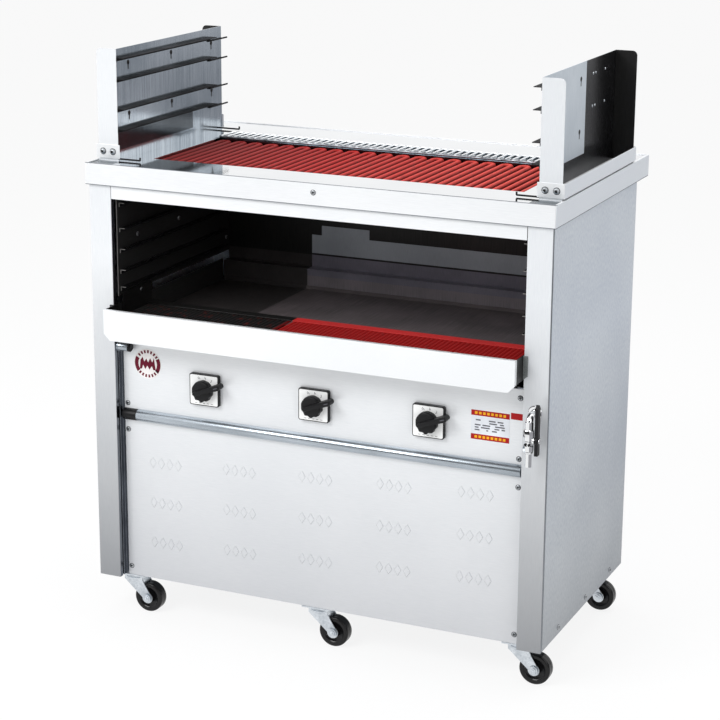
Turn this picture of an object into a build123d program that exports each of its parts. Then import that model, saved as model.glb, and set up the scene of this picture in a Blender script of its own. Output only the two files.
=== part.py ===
from build123d import *
import os

os.makedirs("parts", exist_ok=True)

# Overall sizes in millimetres. Heights are from the floor, and depths run back from the posts' front faces.
cabinet_width = 1000
cabinet_depth = 533
cabinet_bottom = 88
cabinet_height = 852.5
sheet = 1.5
sliding_gap = 0.3
screw_hole_clearance = 1

# Corner posts: folded sheet with a groove down the inner face and a lip that carries the panels.
post_width = 50
post_wrap = 8
post_seam = 2.5
groove_front = 11
groove_back = 17.5
groove_depth = 6
post_lip = 15
post_lip_rise = 3
side_return_front = 15
side_return_rear = 20

# Front panels, set back between the posts.
panel_recess = 25
panel_gap = 6.5
lower_panel_height = 350
trim_height = 25
trim_bulge = 14
trim_cap_length = 33
control_panel_height = 152
panel_flange = 20
header_height = 27.5
header_gap = 1.2

# Embossed lozenges on the lower panel, in rows that climb a little to the right.
emboss_columns = 5
emboss_rows = 3
emboss_column_pitch = 174
emboss_row_pitch = 89
emboss_middle_height = 193
emboss_rise = 10
emboss_count = 4
emboss_pitch = 20
emboss_width = 15
emboss_height = 24
emboss_relief = 0.8

# Pan frame and deck on top.
pan_side_overhang = 6.7
pan_front_overhang = 6
pan_rear_overhang = 60.5
pan_height = 44.5
pan_rim = 5
pan_flange = 16
pan_corner = 3
deck_opening_margin = 45
deck_opening_front = 100
deck_behind_opening = 145

# Cavity between the deck and the drip tray.
liner_front = 16
liner_gap = 2
liner_lift = 15
liner_behind = 28
back_step = 25
back_step_drop = 5
back_wall_drop = 70
rack_rail_shares = (0.1525, 0.3139, 0.5112, 0.7085, 0.9462)
rack_rail_width = 12
rack_rail_leg = 9
rack_rail_front = 25

# Pull-out drip tray, its runners and its stop.
tray_standoff = 45
tray_front_rise = 75
tray_front_height = 64
tray_front_fold = 8
tray_wing = 10
tray_wing_cut = 9
tray_floor_drop = 49.4
tray_side_gap = 2
tray_corner_cut = 14
tray_rear_gap = 4
tray_rear_lip = 9
runner_height = 42
runner_flange = 28
stop_radius = 9
stop_drop = 27
stop_length = 26
stop_collar_length = 4
stop_collar_rise = 1.5
stop_cap_length = 6
stop_cap_rise = 0.5
stop_cap_rounding = 3

# Water pan under the tray and the drain that leads to the cock on the right post.
water_pan_side_gap = 20
water_pan_front = 100
water_pan_height = 34
pipe_radius = 7.5
pipe_wall = 1.5
pipe_height = 8.5
pipe_outlet_depth = 132
pipe_exit_drop = 28.3
pipe_bend = 14
cock_offset = 25
cock_standoff = 32
cock_neck_drop = 15
cock_neck_length = 8
cock_neck_radius = 9.5
cock_ring_height = 5
cock_ring_rise = 2
cock_body_length = 45
cock_body_radius = 11
cock_spout_length = 31
cock_spout_radius = 6.5
cock_bore_radius = 4.5
cock_pivot_drop = 45
cock_pivot_radius = 3
cock_boss_radius = 7
cock_boss_reach = 1.5
pin_head_length = 2
pin_head_rise = 2
running_clearance = 0.05
lever_hub_radius = 8.5
lever_thickness = 7
lever_reach = 72
lever_point = 8
lever_tail = 29
lever_width = 12.5
flange_radius = 14
flange_thickness = 3

# Upper heater rods, their bars and the wire net behind them.
heater_rod_radius = 6
heater_end_gap = 3.6
heater_hairpins = 21
heater_axis_drop = 8.6
heater_bar_thickness = 6
heater_bar_depth = 26
heater_rear_clearance = 1
net_depth = 60
net_wire_radius = 2
net_frame_radius = 2.5
net_pitch = 16
net_weld = 2
net_bar_lift = 1

# Lower heater over the tray: two banks of one long rod each, folded to and fro from front to back.
lower_rod_radius = 3.2
lower_rod_pitch = 9.6
lower_rod_front = -8
lower_heater_drop = 42
lower_heater_side_gap = 5
lower_bank_split = -104
lower_bank_gap = 12
lower_plate_front = -12
lower_plate_rear = 147
lower_plate_foot = 12
lower_plate_rise = 10
lower_hanger_rise = 7
lower_bar_width = 8
lower_bar_inset = 30
lower_cover_depth = 26

# Rotary switches.
switch_spacing = 249
switch_rise = 64.5
bezel_size = 67
bezel_depth = 9
bezel_corner = 4
dial_size = 63
dial_thickness = 1
switch_body_size = 56
switch_body_depth = 60
shaft_radius = 4
shaft_hole_radius = 5
shaft_length = 58
shaft_end_gap = 6
knob_radius = 21.5
knob_lobes = 10
knob_lobe_radius = 3.5
knob_lobe_inset = 1.8
knob_base = 14
knob_depth = 22
knob_handle_length = 49
knob_handle_width = 12
knob_handle_rounding = 4
knob_chamfer = 1.5
knob_tilt = 20

# Labels on the control panel, all blank.
label_thickness = 0.4
rating_label_size = (79.5, 59.5)
rating_label_inset = 68
rating_label_rise = 69.3
round_label_radius = 32
round_label_inset = 57.5
round_label_rise = 102
flag_label_size = (25, 13)
flag_label_inset = 13.5
flag_label_rise = 96

# Uprights on the deck, with keyholes, rack ledges and foot rails.
upright_inset = 45
upright_flange = 46
upright_front = 43
upright_behind = 38
upright_height = 228
upright_corner = 10
keyhole_rises = (92, 196)
keyhole_pitch = 178.5
keyhole_radius = 5
keyhole_slot = 9
keyhole_slot_radius = 1.8
ledge_rises = (64, 106, 167, 210)
ledge_width = 17
ledge_leg = 7
ledge_behind = 52
ledge_wire_radius = 1.8
ledge_wire_lap = 10
ledge_wire_length = 75
skewer_stop_length = 47
skewer_stop_inset = 7
skewer_stop_lift = 2
skewer_stop_tip = 6
foot_rail_height = 29
foot_rail_lift = 3
foot_rail_overlap = 4
foot_rail_gap = 2
foot_bolt_spacing = 23
foot_bolt_radius = 6
foot_bolt_head = 4.5

# Cabinet base, back panel and electrical entry.
base_upstand = 36
vent_count = 9
vent_length = 60
vent_width = 7
vent_pitch = 16
vent_rise = 242
terminal_box_size = (180, 60, 150)
terminal_box_inset = 170
terminal_box_rise = 142
gland_radius = 15
gland_tube_radius = 12
gland_length = 30
gland_bore_radius = 7.5

# Screws.
screw_radius = 4.5
screw_head = 2.2
panel_screw_inset = 7.5
panel_screw_rise = 20
panel_screw_drop = 22
trim_screw_rise = 11
top_screw_drop = 18
pan_screw_place = 10
pan_screw_drop = 18
side_screw_height = 15.5
side_screw_depths = (107, 280, 448)
wall_screw_places = ((98, 132), (275, 132), (492, 47))
hanger_screw_depth = 100
hanger_screw_drop = 9

# Casters.
caster_inset = 59
caster_front_depth = 55
wheel_radius = 32.5
wheel_width = 25
wheel_offset = 33
wheel_side_gap = 1.5
wheel_rounding = 4
hub_radius = 11
hub_rise = 1
axle_radius = 4
axle_nut_rise = 3
axle_nut_length = 3
fork_sheet = 2.5
fork_drop = 8
fork_crown_drop = 10
fork_end_radius = 12
caster_plate_size = 62
caster_plate_thickness = 3
caster_race_radius = 22
caster_race_step = 2
kingpin_radius = 6
kingpin_tip = 2

# Values worked out from the ones above: the cabinet's outline first.
half_width = cabinet_width / 2
cabinet_top = cabinet_bottom + cabinet_height
pan_rear = cabinet_depth + pan_rear_overhang
pan_top = cabinet_top + pan_height
pan_half_width = half_width + pan_side_overhang
front_y = (tray_standoff - pan_rear) / 2
post_inner = half_width - post_width
side_inner = half_width - sheet

# The front panels, and what hangs on them.
panel_half = post_inner - panel_gap
panel_back = panel_recess + sheet
lower_panel_top = cabinet_bottom + lower_panel_height
trim_top = lower_panel_top + trim_height
control_panel_top = trim_top + control_panel_height
header_bottom = cabinet_top - header_height
switch_positions = (-switch_spacing, 0, switch_spacing)
switch_height = trim_top + switch_rise
dial_front = panel_recess - bezel_depth - dial_thickness
rating_label_centre = (panel_half - rating_label_inset, trim_top + rating_label_rise)
round_label_centre = (round_label_inset - panel_half, trim_top + round_label_rise)
flag_label_centre = (panel_half - flag_label_inset, trim_top + flag_label_rise)

# The deck, the uprights and the upper heater.
deck_top = pan_top - sheet
deck_bottom = deck_top - sheet
deck_opening_half_width = post_inner - deck_opening_margin
deck_opening_rear = cabinet_depth - deck_behind_opening
heater_rod_pitch = (2 * deck_opening_half_width - heater_end_gap) / (2 * heater_hairpins)
upright_inner = half_width - upright_inset
upright_outer = upright_inner + upright_flange
upright_rear = cabinet_depth - upright_behind
upright_top = pan_top + upright_height

# The tray, the cavity's lining and the lower heater.
tray_front_top = control_panel_top + tray_front_rise
tray_front_bottom = tray_front_top - tray_front_height
tray_half = post_inner - tray_side_gap
tray_floor = tray_front_top - tray_floor_drop
liner_inner = post_inner - liner_gap - sheet
liner_outer = liner_inner + sheet
liner_bottom = tray_front_top + liner_lift
liner_rear = cabinet_depth - liner_behind
back_step_height = tray_front_top - back_step_drop
back_wall_bottom = tray_front_top - back_wall_drop
tray_rear = liner_rear - back_step - tray_rear_gap
stop_height = tray_front_bottom - stop_drop
lower_heater_height = liner_bottom - lower_heater_drop
lower_heater_half_width = liner_inner - lower_heater_side_gap
lower_plate_bottom = lower_heater_height - lower_plate_foot
lower_plate_top = liner_bottom + lower_hanger_rise

# The runners, the water pan and the drain.
runner_top = tray_floor - sliding_gap
runner_bottom = runner_top - runner_height
water_pan_half_width = post_inner - water_pan_side_gap
water_pan_floor = runner_bottom + sheet
pipe_level = water_pan_floor + pipe_height
pipe_exit_level = pipe_level - pipe_exit_drop
cock_x = post_inner + cock_offset
cock_y = -cock_standoff
cock_neck_top = pipe_exit_level - cock_neck_drop
cock_neck_bottom = cock_neck_top - cock_neck_length
cock_body_bottom = cock_neck_bottom - cock_body_length
cock_spout_bottom = cock_body_bottom - cock_spout_length
cock_pivot_height = pipe_exit_level - cock_pivot_drop
cock_pivot_x = cock_x + cock_body_radius + cock_boss_reach

# The back and the casters.
vent_height = cabinet_bottom + vent_rise
box_x = half_width - terminal_box_inset
box_z = cabinet_bottom + terminal_box_rise
caster_column = half_width - caster_inset
caster_columns = (-caster_column, 0, caster_column)
caster_rows = (caster_front_depth, cabinet_depth - caster_inset)
fork_top = cabinet_bottom - fork_drop
fork_crown_height = fork_top - fork_crown_drop


def block(xs, depths, heights, mode=Mode.ADD):
    """Adds or cuts a box from its spans: across, back from the posts' faces, and up from the floor."""
    middle = (sum(xs) / 2, front_y + sum(depths) / 2, sum(heights) / 2)
    with Locations(middle):
        Box(xs[1] - xs[0], depths[1] - depths[0], heights[1] - heights[0], mode=mode)


def span(side, near, far):
    """The x span from near to far on the left (-1) or the right (1)."""
    return (min(side * near, side * far), max(side * near, side * far))


def rod_x(xs, depth, height, radius, mode=Mode.ADD):
    """A round bar across the object."""
    with Locations(((xs[0] + xs[1]) / 2, front_y + depth, height)):
        Cylinder(radius, xs[1] - xs[0], rotation=(0, 90, 0), mode=mode)


def rod_y(x, depths, height, radius, mode=Mode.ADD):
    """A round bar from front to back."""
    with Locations((x, front_y + sum(depths) / 2, height)):
        Cylinder(radius, depths[1] - depths[0], rotation=(90, 0, 0), mode=mode)


def rod_z(x, depth, heights, radius, mode=Mode.ADD):
    """An upright round bar."""
    with Locations((x, front_y + depth, sum(heights) / 2)):
        Cylinder(radius, heights[1] - heights[0], mode=mode)


def save(piece, name):
    """Labels a finished piece and writes it as its own file."""
    piece.part.label = name
    export_step(piece.part, f"parts/{name}.step")


def front_plane(depth):
    """A plane that faces forward at a depth, with x across and z up."""
    return Plane((0, front_y + depth, 0), x_dir=(1, 0, 0), z_dir=(0, -1, 0))


# Corner posts.
lip_top = control_panel_top + post_lip_rise
for side, word in ((-1, "left"), (1, "right")):
    full = (cabinet_bottom, cabinet_top)
    with BuildPart() as corner_post:
        block(span(side, post_inner, half_width), (0, sheet), full)
        block(span(side, side_inner, half_width), (0, post_wrap), full)
        block(span(side, post_inner, post_inner + sheet), (0, groove_front), full)
        block(span(side, post_inner, post_inner + groove_depth), (groove_front - sheet, groove_front), full)
        block(span(side, post_inner + groove_depth - sheet, post_inner + groove_depth),
              (groove_front, groove_back), full)
        block(span(side, post_inner, post_inner + groove_depth), (groove_back - sheet, groove_back),
              (cabinet_bottom, lip_top))
        block(span(side, post_inner, post_inner + sheet), (groove_back, panel_back + sheet),
              (cabinet_bottom, lip_top))
        block(span(side, panel_half - post_lip, post_inner + sheet), (panel_back, panel_back + sheet),
              (cabinet_bottom, lip_top))
        if side > 0:
            rod_y(cock_x, (-sheet, 2 * sheet), pipe_exit_level, pipe_radius + screw_hole_clearance,
                  Mode.SUBTRACT)
    save(corner_post, f"corner_post_{word}")

# Side panels, each with a front and a rear return.
for side, word in ((-1, "left"), (1, "right")):
    panel_front = post_wrap + post_seam
    with BuildPart() as side_panel:
        block(span(side, side_inner, half_width), (panel_front, cabinet_depth), (cabinet_bottom, cabinet_top))
        block(span(side, side_inner - side_return_front, side_inner), (panel_front, panel_front + sheet),
              (cabinet_bottom, cabinet_top))
        block(span(side, side_inner - side_return_rear, side_inner),
              (cabinet_depth - 2 * sheet, cabinet_depth - sheet), (cabinet_bottom, cabinet_top))
    save(side_panel, f"side_panel_{word}")

# Back panel with two groups of vent slots.
with BuildPart() as back_panel:
    block((-side_inner, side_inner), (cabinet_depth - sheet, cabinet_depth), (cabinet_bottom, cabinet_top))
    with BuildSketch(front_plane(cabinet_depth - sheet - 1)):
        with Locations((-half_width / 2, vent_height), (0, vent_height)):
            with GridLocations(0, vent_pitch, 1, vent_count):
                SlotOverall(vent_length, vent_width)
    extrude(amount=-(sheet + 2), mode=Mode.SUBTRACT)
    rod_y(box_x, (cabinet_depth - 2 * sheet, cabinet_depth + sheet), box_z, gland_bore_radius, Mode.SUBTRACT)
save(back_panel, "back_panel")

# Base tray that closes the bottom and takes the casters.
base_front = panel_back + sheet
base_rear = cabinet_depth - 2 * sheet
with BuildPart() as base_tray:
    block((-side_inner, side_inner), (base_front, base_rear), (cabinet_bottom, cabinet_bottom + base_upstand))
    block((-side_inner + sheet, side_inner - sheet), (base_front + sheet, base_rear - sheet),
          (cabinet_bottom + sheet, cabinet_bottom + base_upstand), Mode.SUBTRACT)
save(base_tray, "base_tray")

# Header strip under the pan frame.
header_half = post_inner - header_gap
with BuildPart() as header_strip:
    block((-header_half, header_half), (0, sheet), (header_bottom, cabinet_top))
    block((-header_half, header_half), (0, liner_front), (header_bottom, header_bottom + sheet))
    block((-header_half, header_half), (0, liner_front), (cabinet_top - sheet, cabinet_top))
save(header_strip, "header_strip")

# Control panel with three shaft holes.
with BuildPart() as control_panel:
    block((-panel_half, panel_half), (panel_recess, panel_back), (trim_top, control_panel_top))
    block((-panel_half + post_lip, panel_half - post_lip), (panel_back, panel_back + panel_flange),
          (control_panel_top - sheet, control_panel_top))
    for x in switch_positions:
        rod_y(x, (panel_recess - sheet, panel_back + sheet), switch_height, shaft_hole_radius, Mode.SUBTRACT)
save(control_panel, "control_panel")

# Lower panel with groups of raised lozenges.
lozenge = [(-emboss_width / 2, 0), (0, -emboss_height / 2), (emboss_width / 2, 0), (0, emboss_height / 2)]
emboss_places = []
for row in range(emboss_rows):
    for column in range(emboss_columns):
        for step in range(emboss_count):
            along = column - (emboss_columns - 1) / 2
            x = along * emboss_column_pitch + (step - (emboss_count - 1) / 2) * emboss_pitch
            level = emboss_middle_height + (row - (emboss_rows - 1) / 2) * emboss_row_pitch
            emboss_places.append((x, cabinet_bottom + level + along * emboss_rise))
with BuildPart() as lower_panel:
    block((-panel_half, panel_half), (panel_recess, panel_back), (cabinet_bottom, lower_panel_top))
    block((-panel_half + post_lip, panel_half - post_lip), (panel_back, panel_back + panel_flange),
          (lower_panel_top - sheet, lower_panel_top))
    with BuildSketch(front_plane(panel_recess)):
        with Locations(*emboss_places):
            Polygon(*lozenge, align=None)
    extrude(amount=emboss_relief)
save(lower_panel, "lower_panel")


def trim_profile(x):
    """The half-round section of the trim, standing on the panel's plane."""
    with BuildSketch(Plane.YZ.offset(x)) as profile:
        with Locations((front_y + panel_recess, lower_panel_top + trim_height / 2)):
            Ellipse(trim_bulge, trim_height / 2)
            Rectangle(trim_bulge + 1, trim_height + 2, align=(Align.MIN, Align.CENTER), mode=Mode.SUBTRACT)
        with Locations((front_y + panel_recess + sheet / 2, lower_panel_top + trim_height / 2)):
            Rectangle(sheet, trim_height)
    return profile


# Trim rail between the two panels, with a dark end cap at the left.
trim_start = -panel_half + trim_cap_length
with BuildPart() as trim_rail:
    extrude(trim_profile(trim_start).sketch, amount=panel_half - trim_start)
save(trim_rail, "trim_rail")

with BuildPart() as trim_end_cap:
    extrude(trim_profile(-panel_half).sketch, amount=trim_cap_length)
save(trim_end_cap, "trim_end_cap")

# Pan frame: a deep rim round the deck, open in the middle.
pan_depth = pan_rear + pan_front_overhang
pan_middle = front_y + (pan_rear - pan_front_overhang) / 2
pan_width = 2 * pan_half_width
with BuildPart() as pan_frame:
    for bottom, height, inset in ((cabinet_top, pan_height, sheet), (pan_top - sheet, sheet, pan_rim)):
        with BuildSketch(Plane.XY.offset(bottom)):
            with Locations((0, pan_middle)):
                RectangleRounded(pan_width, pan_depth, pan_corner)
                Rectangle(pan_width - 2 * inset, pan_depth - 2 * inset, mode=Mode.SUBTRACT)
        extrude(amount=height)
    block((sheet - pan_half_width, pan_half_width - sheet), (sheet - pan_front_overhang, pan_rear - sheet),
          (cabinet_top, cabinet_top + sheet))
    block((pan_flange - pan_half_width, pan_half_width - pan_flange),
          (pan_flange - pan_front_overhang, cabinet_depth - 2 * sheet),
          (cabinet_top - sheet, cabinet_top + 2 * sheet), Mode.SUBTRACT)
save(pan_frame, "pan_frame")

# Deck with the heater opening and the well that hangs under it.
opening_width = 2 * deck_opening_half_width
opening_depth = deck_opening_rear - deck_opening_front
opening_middle = front_y + (deck_opening_rear + deck_opening_front) / 2
well_bottom = header_bottom + sheet
with BuildPart() as deck:
    with BuildSketch(Plane.XY.offset(deck_bottom)):
        with Locations((0, pan_middle)):
            Rectangle(pan_width - 2 * sheet, pan_depth - 2 * sheet)
        with Locations((0, opening_middle)):
            Rectangle(opening_width, opening_depth, mode=Mode.SUBTRACT)
    extrude(amount=sheet)
    with BuildSketch(Plane.XY.offset(well_bottom)):
        with Locations((0, opening_middle)):
            Rectangle(opening_width + 2 * sheet, opening_depth + 2 * sheet)
            Rectangle(opening_width, opening_depth, mode=Mode.SUBTRACT)
    extrude(amount=deck_top - well_bottom)
save(deck, "deck")

# Cavity lining: two side walls, a stepped back wall and a ceiling with the same opening as the deck.
back_outer = liner_rear + sheet
with BuildPart() as cavity_walls:
    for side in (-1, 1):
        block(span(side, liner_inner, liner_outer), (liner_front, back_outer), (liner_bottom, header_bottom))
save(cavity_walls, "cavity_walls")

with BuildPart() as cavity_back:
    block((-liner_inner, liner_inner), (liner_rear, back_outer), (back_step_height, header_bottom))
    block((-liner_inner, liner_inner), (liner_rear - back_step, back_outer),
          (back_step_height, back_step_height + sheet))
    block((-liner_inner, liner_inner), (liner_rear - back_step, liner_rear - back_step + sheet),
          (back_wall_bottom, back_step_height))
save(cavity_back, "cavity_back")

with BuildPart() as cavity_ceiling:
    block((-liner_outer, liner_outer), (liner_front, back_outer), (header_bottom, header_bottom + sheet))
    block((-deck_opening_half_width, deck_opening_half_width), (deck_opening_front, deck_opening_rear),
          (header_bottom - sheet, header_bottom + 2 * sheet), Mode.SUBTRACT)
save(cavity_ceiling, "cavity_ceiling")

# Rack rails: folded angles at five heights on both walls, as shares of the cavity's height.
rail_rear = liner_rear - back_step
cavity_height = header_bottom - tray_front_top
with BuildPart() as rack_rails:
    for side in (-1, 1):
        for share in rack_rail_shares:
            height = tray_front_top + share * cavity_height
            block(span(side, liner_inner - rack_rail_width, liner_inner), (rack_rail_front, rail_rear),
                  (height - sheet, height))
            block(span(side, liner_inner - sheet, liner_inner), (rack_rail_front, rail_rear),
                  (height - rack_rail_leg, height - sheet))
save(rack_rails, "rack_rails")

# Runners under the tray, one a side, with a lower flange that carries the water pan.
runner_outer = post_inner
with BuildPart() as tray_runners:
    for side in (-1, 1):
        depths = (panel_back + sheet, rail_rear)
        flange = span(side, runner_outer - runner_flange, runner_outer)
        block(span(side, runner_outer - sheet, runner_outer), depths, (runner_bottom, runner_top))
        block(flange, depths, (runner_top - sheet, runner_top))
        block(flange, (panel_back + panel_flange, rail_rear), (runner_bottom, runner_bottom + sheet))
    rod_x((runner_outer - 2 * sheet, runner_outer + sheet), pipe_outlet_depth, pipe_level,
          pipe_radius + sliding_gap, Mode.SUBTRACT)
save(tray_runners, "tray_runners")

# Stop peg at the left of the tray, with a dark cap.
stop_depth = groove_front + 3
with BuildPart() as tray_stop:
    rod_x((-post_inner, -post_inner + stop_length), stop_depth, stop_height, stop_radius)
    rod_x((-post_inner, -post_inner + stop_collar_length), stop_depth, stop_height,
          stop_radius + stop_collar_rise)
save(tray_stop, "tray_stop")

with BuildPart() as tray_stop_cap:
    stop_end = -post_inner + stop_length
    rod_x((stop_end, stop_end + stop_cap_length), stop_depth, stop_height, stop_radius + stop_cap_rise)
    fillet(tray_stop_cap.edges().filter_by(GeomType.CIRCLE).group_by(Axis.X)[-1], stop_cap_rounding)
save(tray_stop_cap, "tray_stop_cap")

# Pull-out drip tray with the tall front plate, and a wing a side that meets the post.
corner = tray_corner_cut
wing_end = tray_half + tray_wing
front_outline = [
    (-tray_half, tray_front_top), (tray_half, tray_front_top), (tray_half, tray_front_bottom + corner),
    (tray_half - corner, tray_front_bottom), (-tray_half + corner, tray_front_bottom),
    (-tray_half, tray_front_bottom + corner),
]
with BuildPart() as drip_tray:
    with BuildSketch(front_plane(-tray_standoff + sheet)):
        Polygon(*front_outline, align=None)
    extrude(amount=sheet)
    tray_inside = (sheet - tray_standoff, tray_rear)
    block((-tray_half, tray_half), tray_inside, (tray_floor, tray_floor + sheet))
    for side in (-1, 1):
        block(span(side, tray_half - sheet, tray_half), tray_inside, (tray_floor, tray_front_top))
    block((-tray_half, tray_half), (tray_rear - sheet, tray_rear), (tray_floor, tray_floor + tray_rear_lip))
    block((-tray_half, tray_half), (-tray_standoff, sheet - tray_standoff + tray_front_fold),
          (tray_front_top - sheet, tray_front_top))
    with BuildSketch(front_plane(-sliding_gap)):
        for side in (-1, 1):
            Polygon((side * (tray_half - sheet), tray_front_top), (side * wing_end, tray_front_top),
                    (side * wing_end, tray_floor + tray_wing_cut), (side * (tray_half - sheet), tray_floor),
                    align=None)
    extrude(amount=sheet)
save(drip_tray, "drip_tray")

# Water pan on the runners' lower flanges.
water_rear = rail_rear - tray_rear_gap
water_inside = water_pan_half_width - sheet
water_pan_top = water_pan_floor + water_pan_height
with BuildPart() as water_pan:
    block((-water_pan_half_width, water_pan_half_width), (water_pan_front, water_rear),
          (water_pan_floor, water_pan_top))
    block((-water_inside, water_inside), (water_pan_front + sheet, water_rear - sheet),
          (water_pan_floor + sheet, water_pan_top), Mode.SUBTRACT)
    rod_x((water_inside - sheet, water_pan_half_width + sheet), pipe_outlet_depth, pipe_level,
          pipe_radius - pipe_wall, Mode.SUBTRACT)
save(water_pan, "water_pan")

# Drain pipe from the pan's right wall, down, forward through the post and down to the cock.
with BuildPart() as drain_pipe:
    with BuildLine() as pipe_route:
        FilletPolyline(
            (water_pan_half_width, front_y + pipe_outlet_depth, pipe_level),
            (cock_x, front_y + pipe_outlet_depth, pipe_level),
            (cock_x, front_y + pipe_outlet_depth, pipe_exit_level),
            (cock_x, front_y + cock_y, pipe_exit_level),
            (cock_x, front_y + cock_y, cock_neck_top),
            radius=pipe_bend,
        )
    with BuildSketch(Plane(pipe_route.line @ 0, z_dir=pipe_route.line % 0)):
        Circle(pipe_radius)
        Circle(pipe_radius - pipe_wall, mode=Mode.SUBTRACT)
    sweep()
save(drain_pipe, "drain_pipe")

# Drain cock: neck, body, spout, pivot boss and the cover ring on the post.
pin_end = cock_pivot_x + lever_thickness + 2 * sliding_gap
with BuildPart() as drain_cock:
    rod_z(cock_x, cock_y, (cock_neck_bottom, cock_neck_top), cock_neck_radius)
    rod_z(cock_x, cock_y, (cock_neck_bottom, cock_neck_bottom + cock_ring_height),
          cock_neck_radius + cock_ring_rise)
    rod_z(cock_x, cock_y, (cock_body_bottom, cock_neck_bottom), cock_body_radius)
    rod_z(cock_x, cock_y, (cock_spout_bottom, cock_body_bottom), cock_spout_radius)
    rod_y(cock_x, (cock_y - cock_body_radius - sheet, cock_y), cock_pivot_height, cock_spout_radius)
    rod_x((cock_x, cock_pivot_x), cock_y, cock_pivot_height, cock_boss_radius)
    rod_x((cock_pivot_x, pin_end), cock_y, cock_pivot_height, cock_pivot_radius)
    rod_x((pin_end, pin_end + pin_head_length), cock_y, cock_pivot_height, cock_pivot_radius + pin_head_rise)
    rod_z(cock_x, cock_y, (cock_spout_bottom - sheet, cock_neck_top + sheet), cock_bore_radius,
          Mode.SUBTRACT)
    rod_y(cock_x, (-flange_thickness, 0), pipe_exit_level, flange_radius)
    rod_y(cock_x, (-flange_thickness - sheet, sheet), pipe_exit_level, pipe_radius + sliding_gap,
          Mode.SUBTRACT)
save(drain_cock, "drain_cock")

# Lever of the cock, upright when shut.
lever_start = cock_pivot_x + sliding_gap
lever_front = front_y + cock_y - lever_width / 2
lever_back = front_y + cock_y + lever_width / 2
lever_foot = cock_pivot_height - lever_tail
lever_end = cock_pivot_height + lever_reach
with BuildPart() as cock_lever:
    rod_x((lever_start, lever_start + lever_thickness), cock_y, cock_pivot_height, lever_hub_radius)
    with BuildSketch(Plane.YZ.offset(lever_start)):
        with BuildLine():
            Polyline(
                (lever_front, lever_foot), (lever_back, lever_foot), (lever_back, lever_end - lever_point),
                (front_y + cock_y, lever_end), (lever_front, lever_end - lever_point),
                close=True,
            )
        make_face()
    extrude(amount=lever_thickness)
    rod_x((lever_start - sheet, lever_start + lever_thickness + sheet), cock_y, cock_pivot_height,
          cock_pivot_radius + running_clearance, Mode.SUBTRACT)
save(cock_lever, "cock_lever")

# Upper heater: hairpin rods side by side, bent round at the back.
heater_axis = deck_top - heater_axis_drop
heater_front = deck_opening_front + heater_bar_thickness
bend_radius = heater_rod_pitch / 2
bend_depth = deck_opening_rear - heater_rear_clearance - heater_rod_radius - bend_radius
with BuildPart() as upper_heater_rods:
    for index in range(heater_hairpins):
        x = (index - (heater_hairpins - 1) / 2) * 2 * heater_rod_pitch
        with BuildLine() as hairpin:
            Line((x - bend_radius, front_y + heater_front, heater_axis),
                 (x - bend_radius, front_y + bend_depth, heater_axis))
            ThreePointArc((x - bend_radius, front_y + bend_depth, heater_axis),
                          (x, front_y + bend_depth + bend_radius, heater_axis),
                          (x + bend_radius, front_y + bend_depth, heater_axis))
            Line((x + bend_radius, front_y + bend_depth, heater_axis),
                 (x + bend_radius, front_y + heater_front, heater_axis))
        with BuildSketch(Plane(hairpin.line @ 0, z_dir=hairpin.line % 0)):
            Circle(heater_rod_radius)
        sweep(path=hairpin.line)
save(upper_heater_rods, "upper_heater_rods")

# Bars at the front and under the bends that carry the upper rods.
bar_top = heater_axis - heater_rod_radius - sliding_gap
with BuildPart() as upper_heater_bars:
    block((-deck_opening_half_width, deck_opening_half_width), (deck_opening_front, heater_front),
          (heater_axis - heater_bar_depth, heater_axis + heater_rod_radius))
    block((-deck_opening_half_width, deck_opening_half_width),
          (bend_depth - heater_bar_thickness, bend_depth), (bar_top - heater_bar_depth, bar_top))
save(upper_heater_bars, "upper_heater_bars")

# Wire net behind the upper heater: a wire frame with bars across it, which lifts off.
net_half = deck_opening_half_width
net_front = deck_opening_rear + net_frame_radius
net_rear = net_front + net_depth
net_level = deck_top + net_frame_radius
net_bars = int(2 * net_half / net_pitch)
net_depths = (net_front - net_weld, net_rear + net_weld)
with BuildPart() as wire_net:
    for depth in (net_front, net_rear):
        rod_x((-net_half, net_half), depth, net_level, net_frame_radius)
    for index in range(net_bars + 1):
        x = (index / net_bars - 0.5) * 2 * (net_half - net_frame_radius)
        rod_y(x, net_depths, net_level + net_bar_lift, net_wire_radius)
save(wire_net, "wire_net")

# Lower heater: a long right bank and a shorter left one, each a rod folded to and fro.
lower_bend = lower_rod_pitch / 2
lower_front_bend = lower_rod_front + lower_rod_radius + lower_bend
lower_rear_bend = lower_plate_rear - lower_rod_radius - lower_bend - 2 * sheet
lower_edge = lower_heater_half_width - lower_rod_radius - sheet
lower_banks = ((-lower_edge, lower_bank_split - lower_bank_gap / 2),
               (lower_bank_split + lower_bank_gap / 2, lower_edge))
with BuildPart() as lower_heater_rods:
    for bank_start, bank_end in lower_banks:
        runs = int((bank_end - bank_start) / lower_rod_pitch) + 1
        first = (bank_start + bank_end - (runs - 1) * lower_rod_pitch) / 2
        with BuildLine() as folded:
            for run in range(runs):
                x = first + run * lower_rod_pitch
                toward = 1 if run % 2 == 0 else -1
                start, end = (lower_front_bend, lower_rear_bend)[::toward]
                Line((x, front_y + start, lower_heater_height), (x, front_y + end, lower_heater_height))
                if run < runs - 1:
                    ThreePointArc((x, front_y + end, lower_heater_height),
                                  (x + lower_bend, front_y + end + toward * lower_bend, lower_heater_height),
                                  (x + lower_rod_pitch, front_y + end, lower_heater_height))
        with BuildSketch(Plane(folded.line @ 0, z_dir=folded.line % 0)):
            Circle(lower_rod_radius)
        sweep(path=folded.line)
save(lower_heater_rods, "lower_heater_rods")

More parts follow.
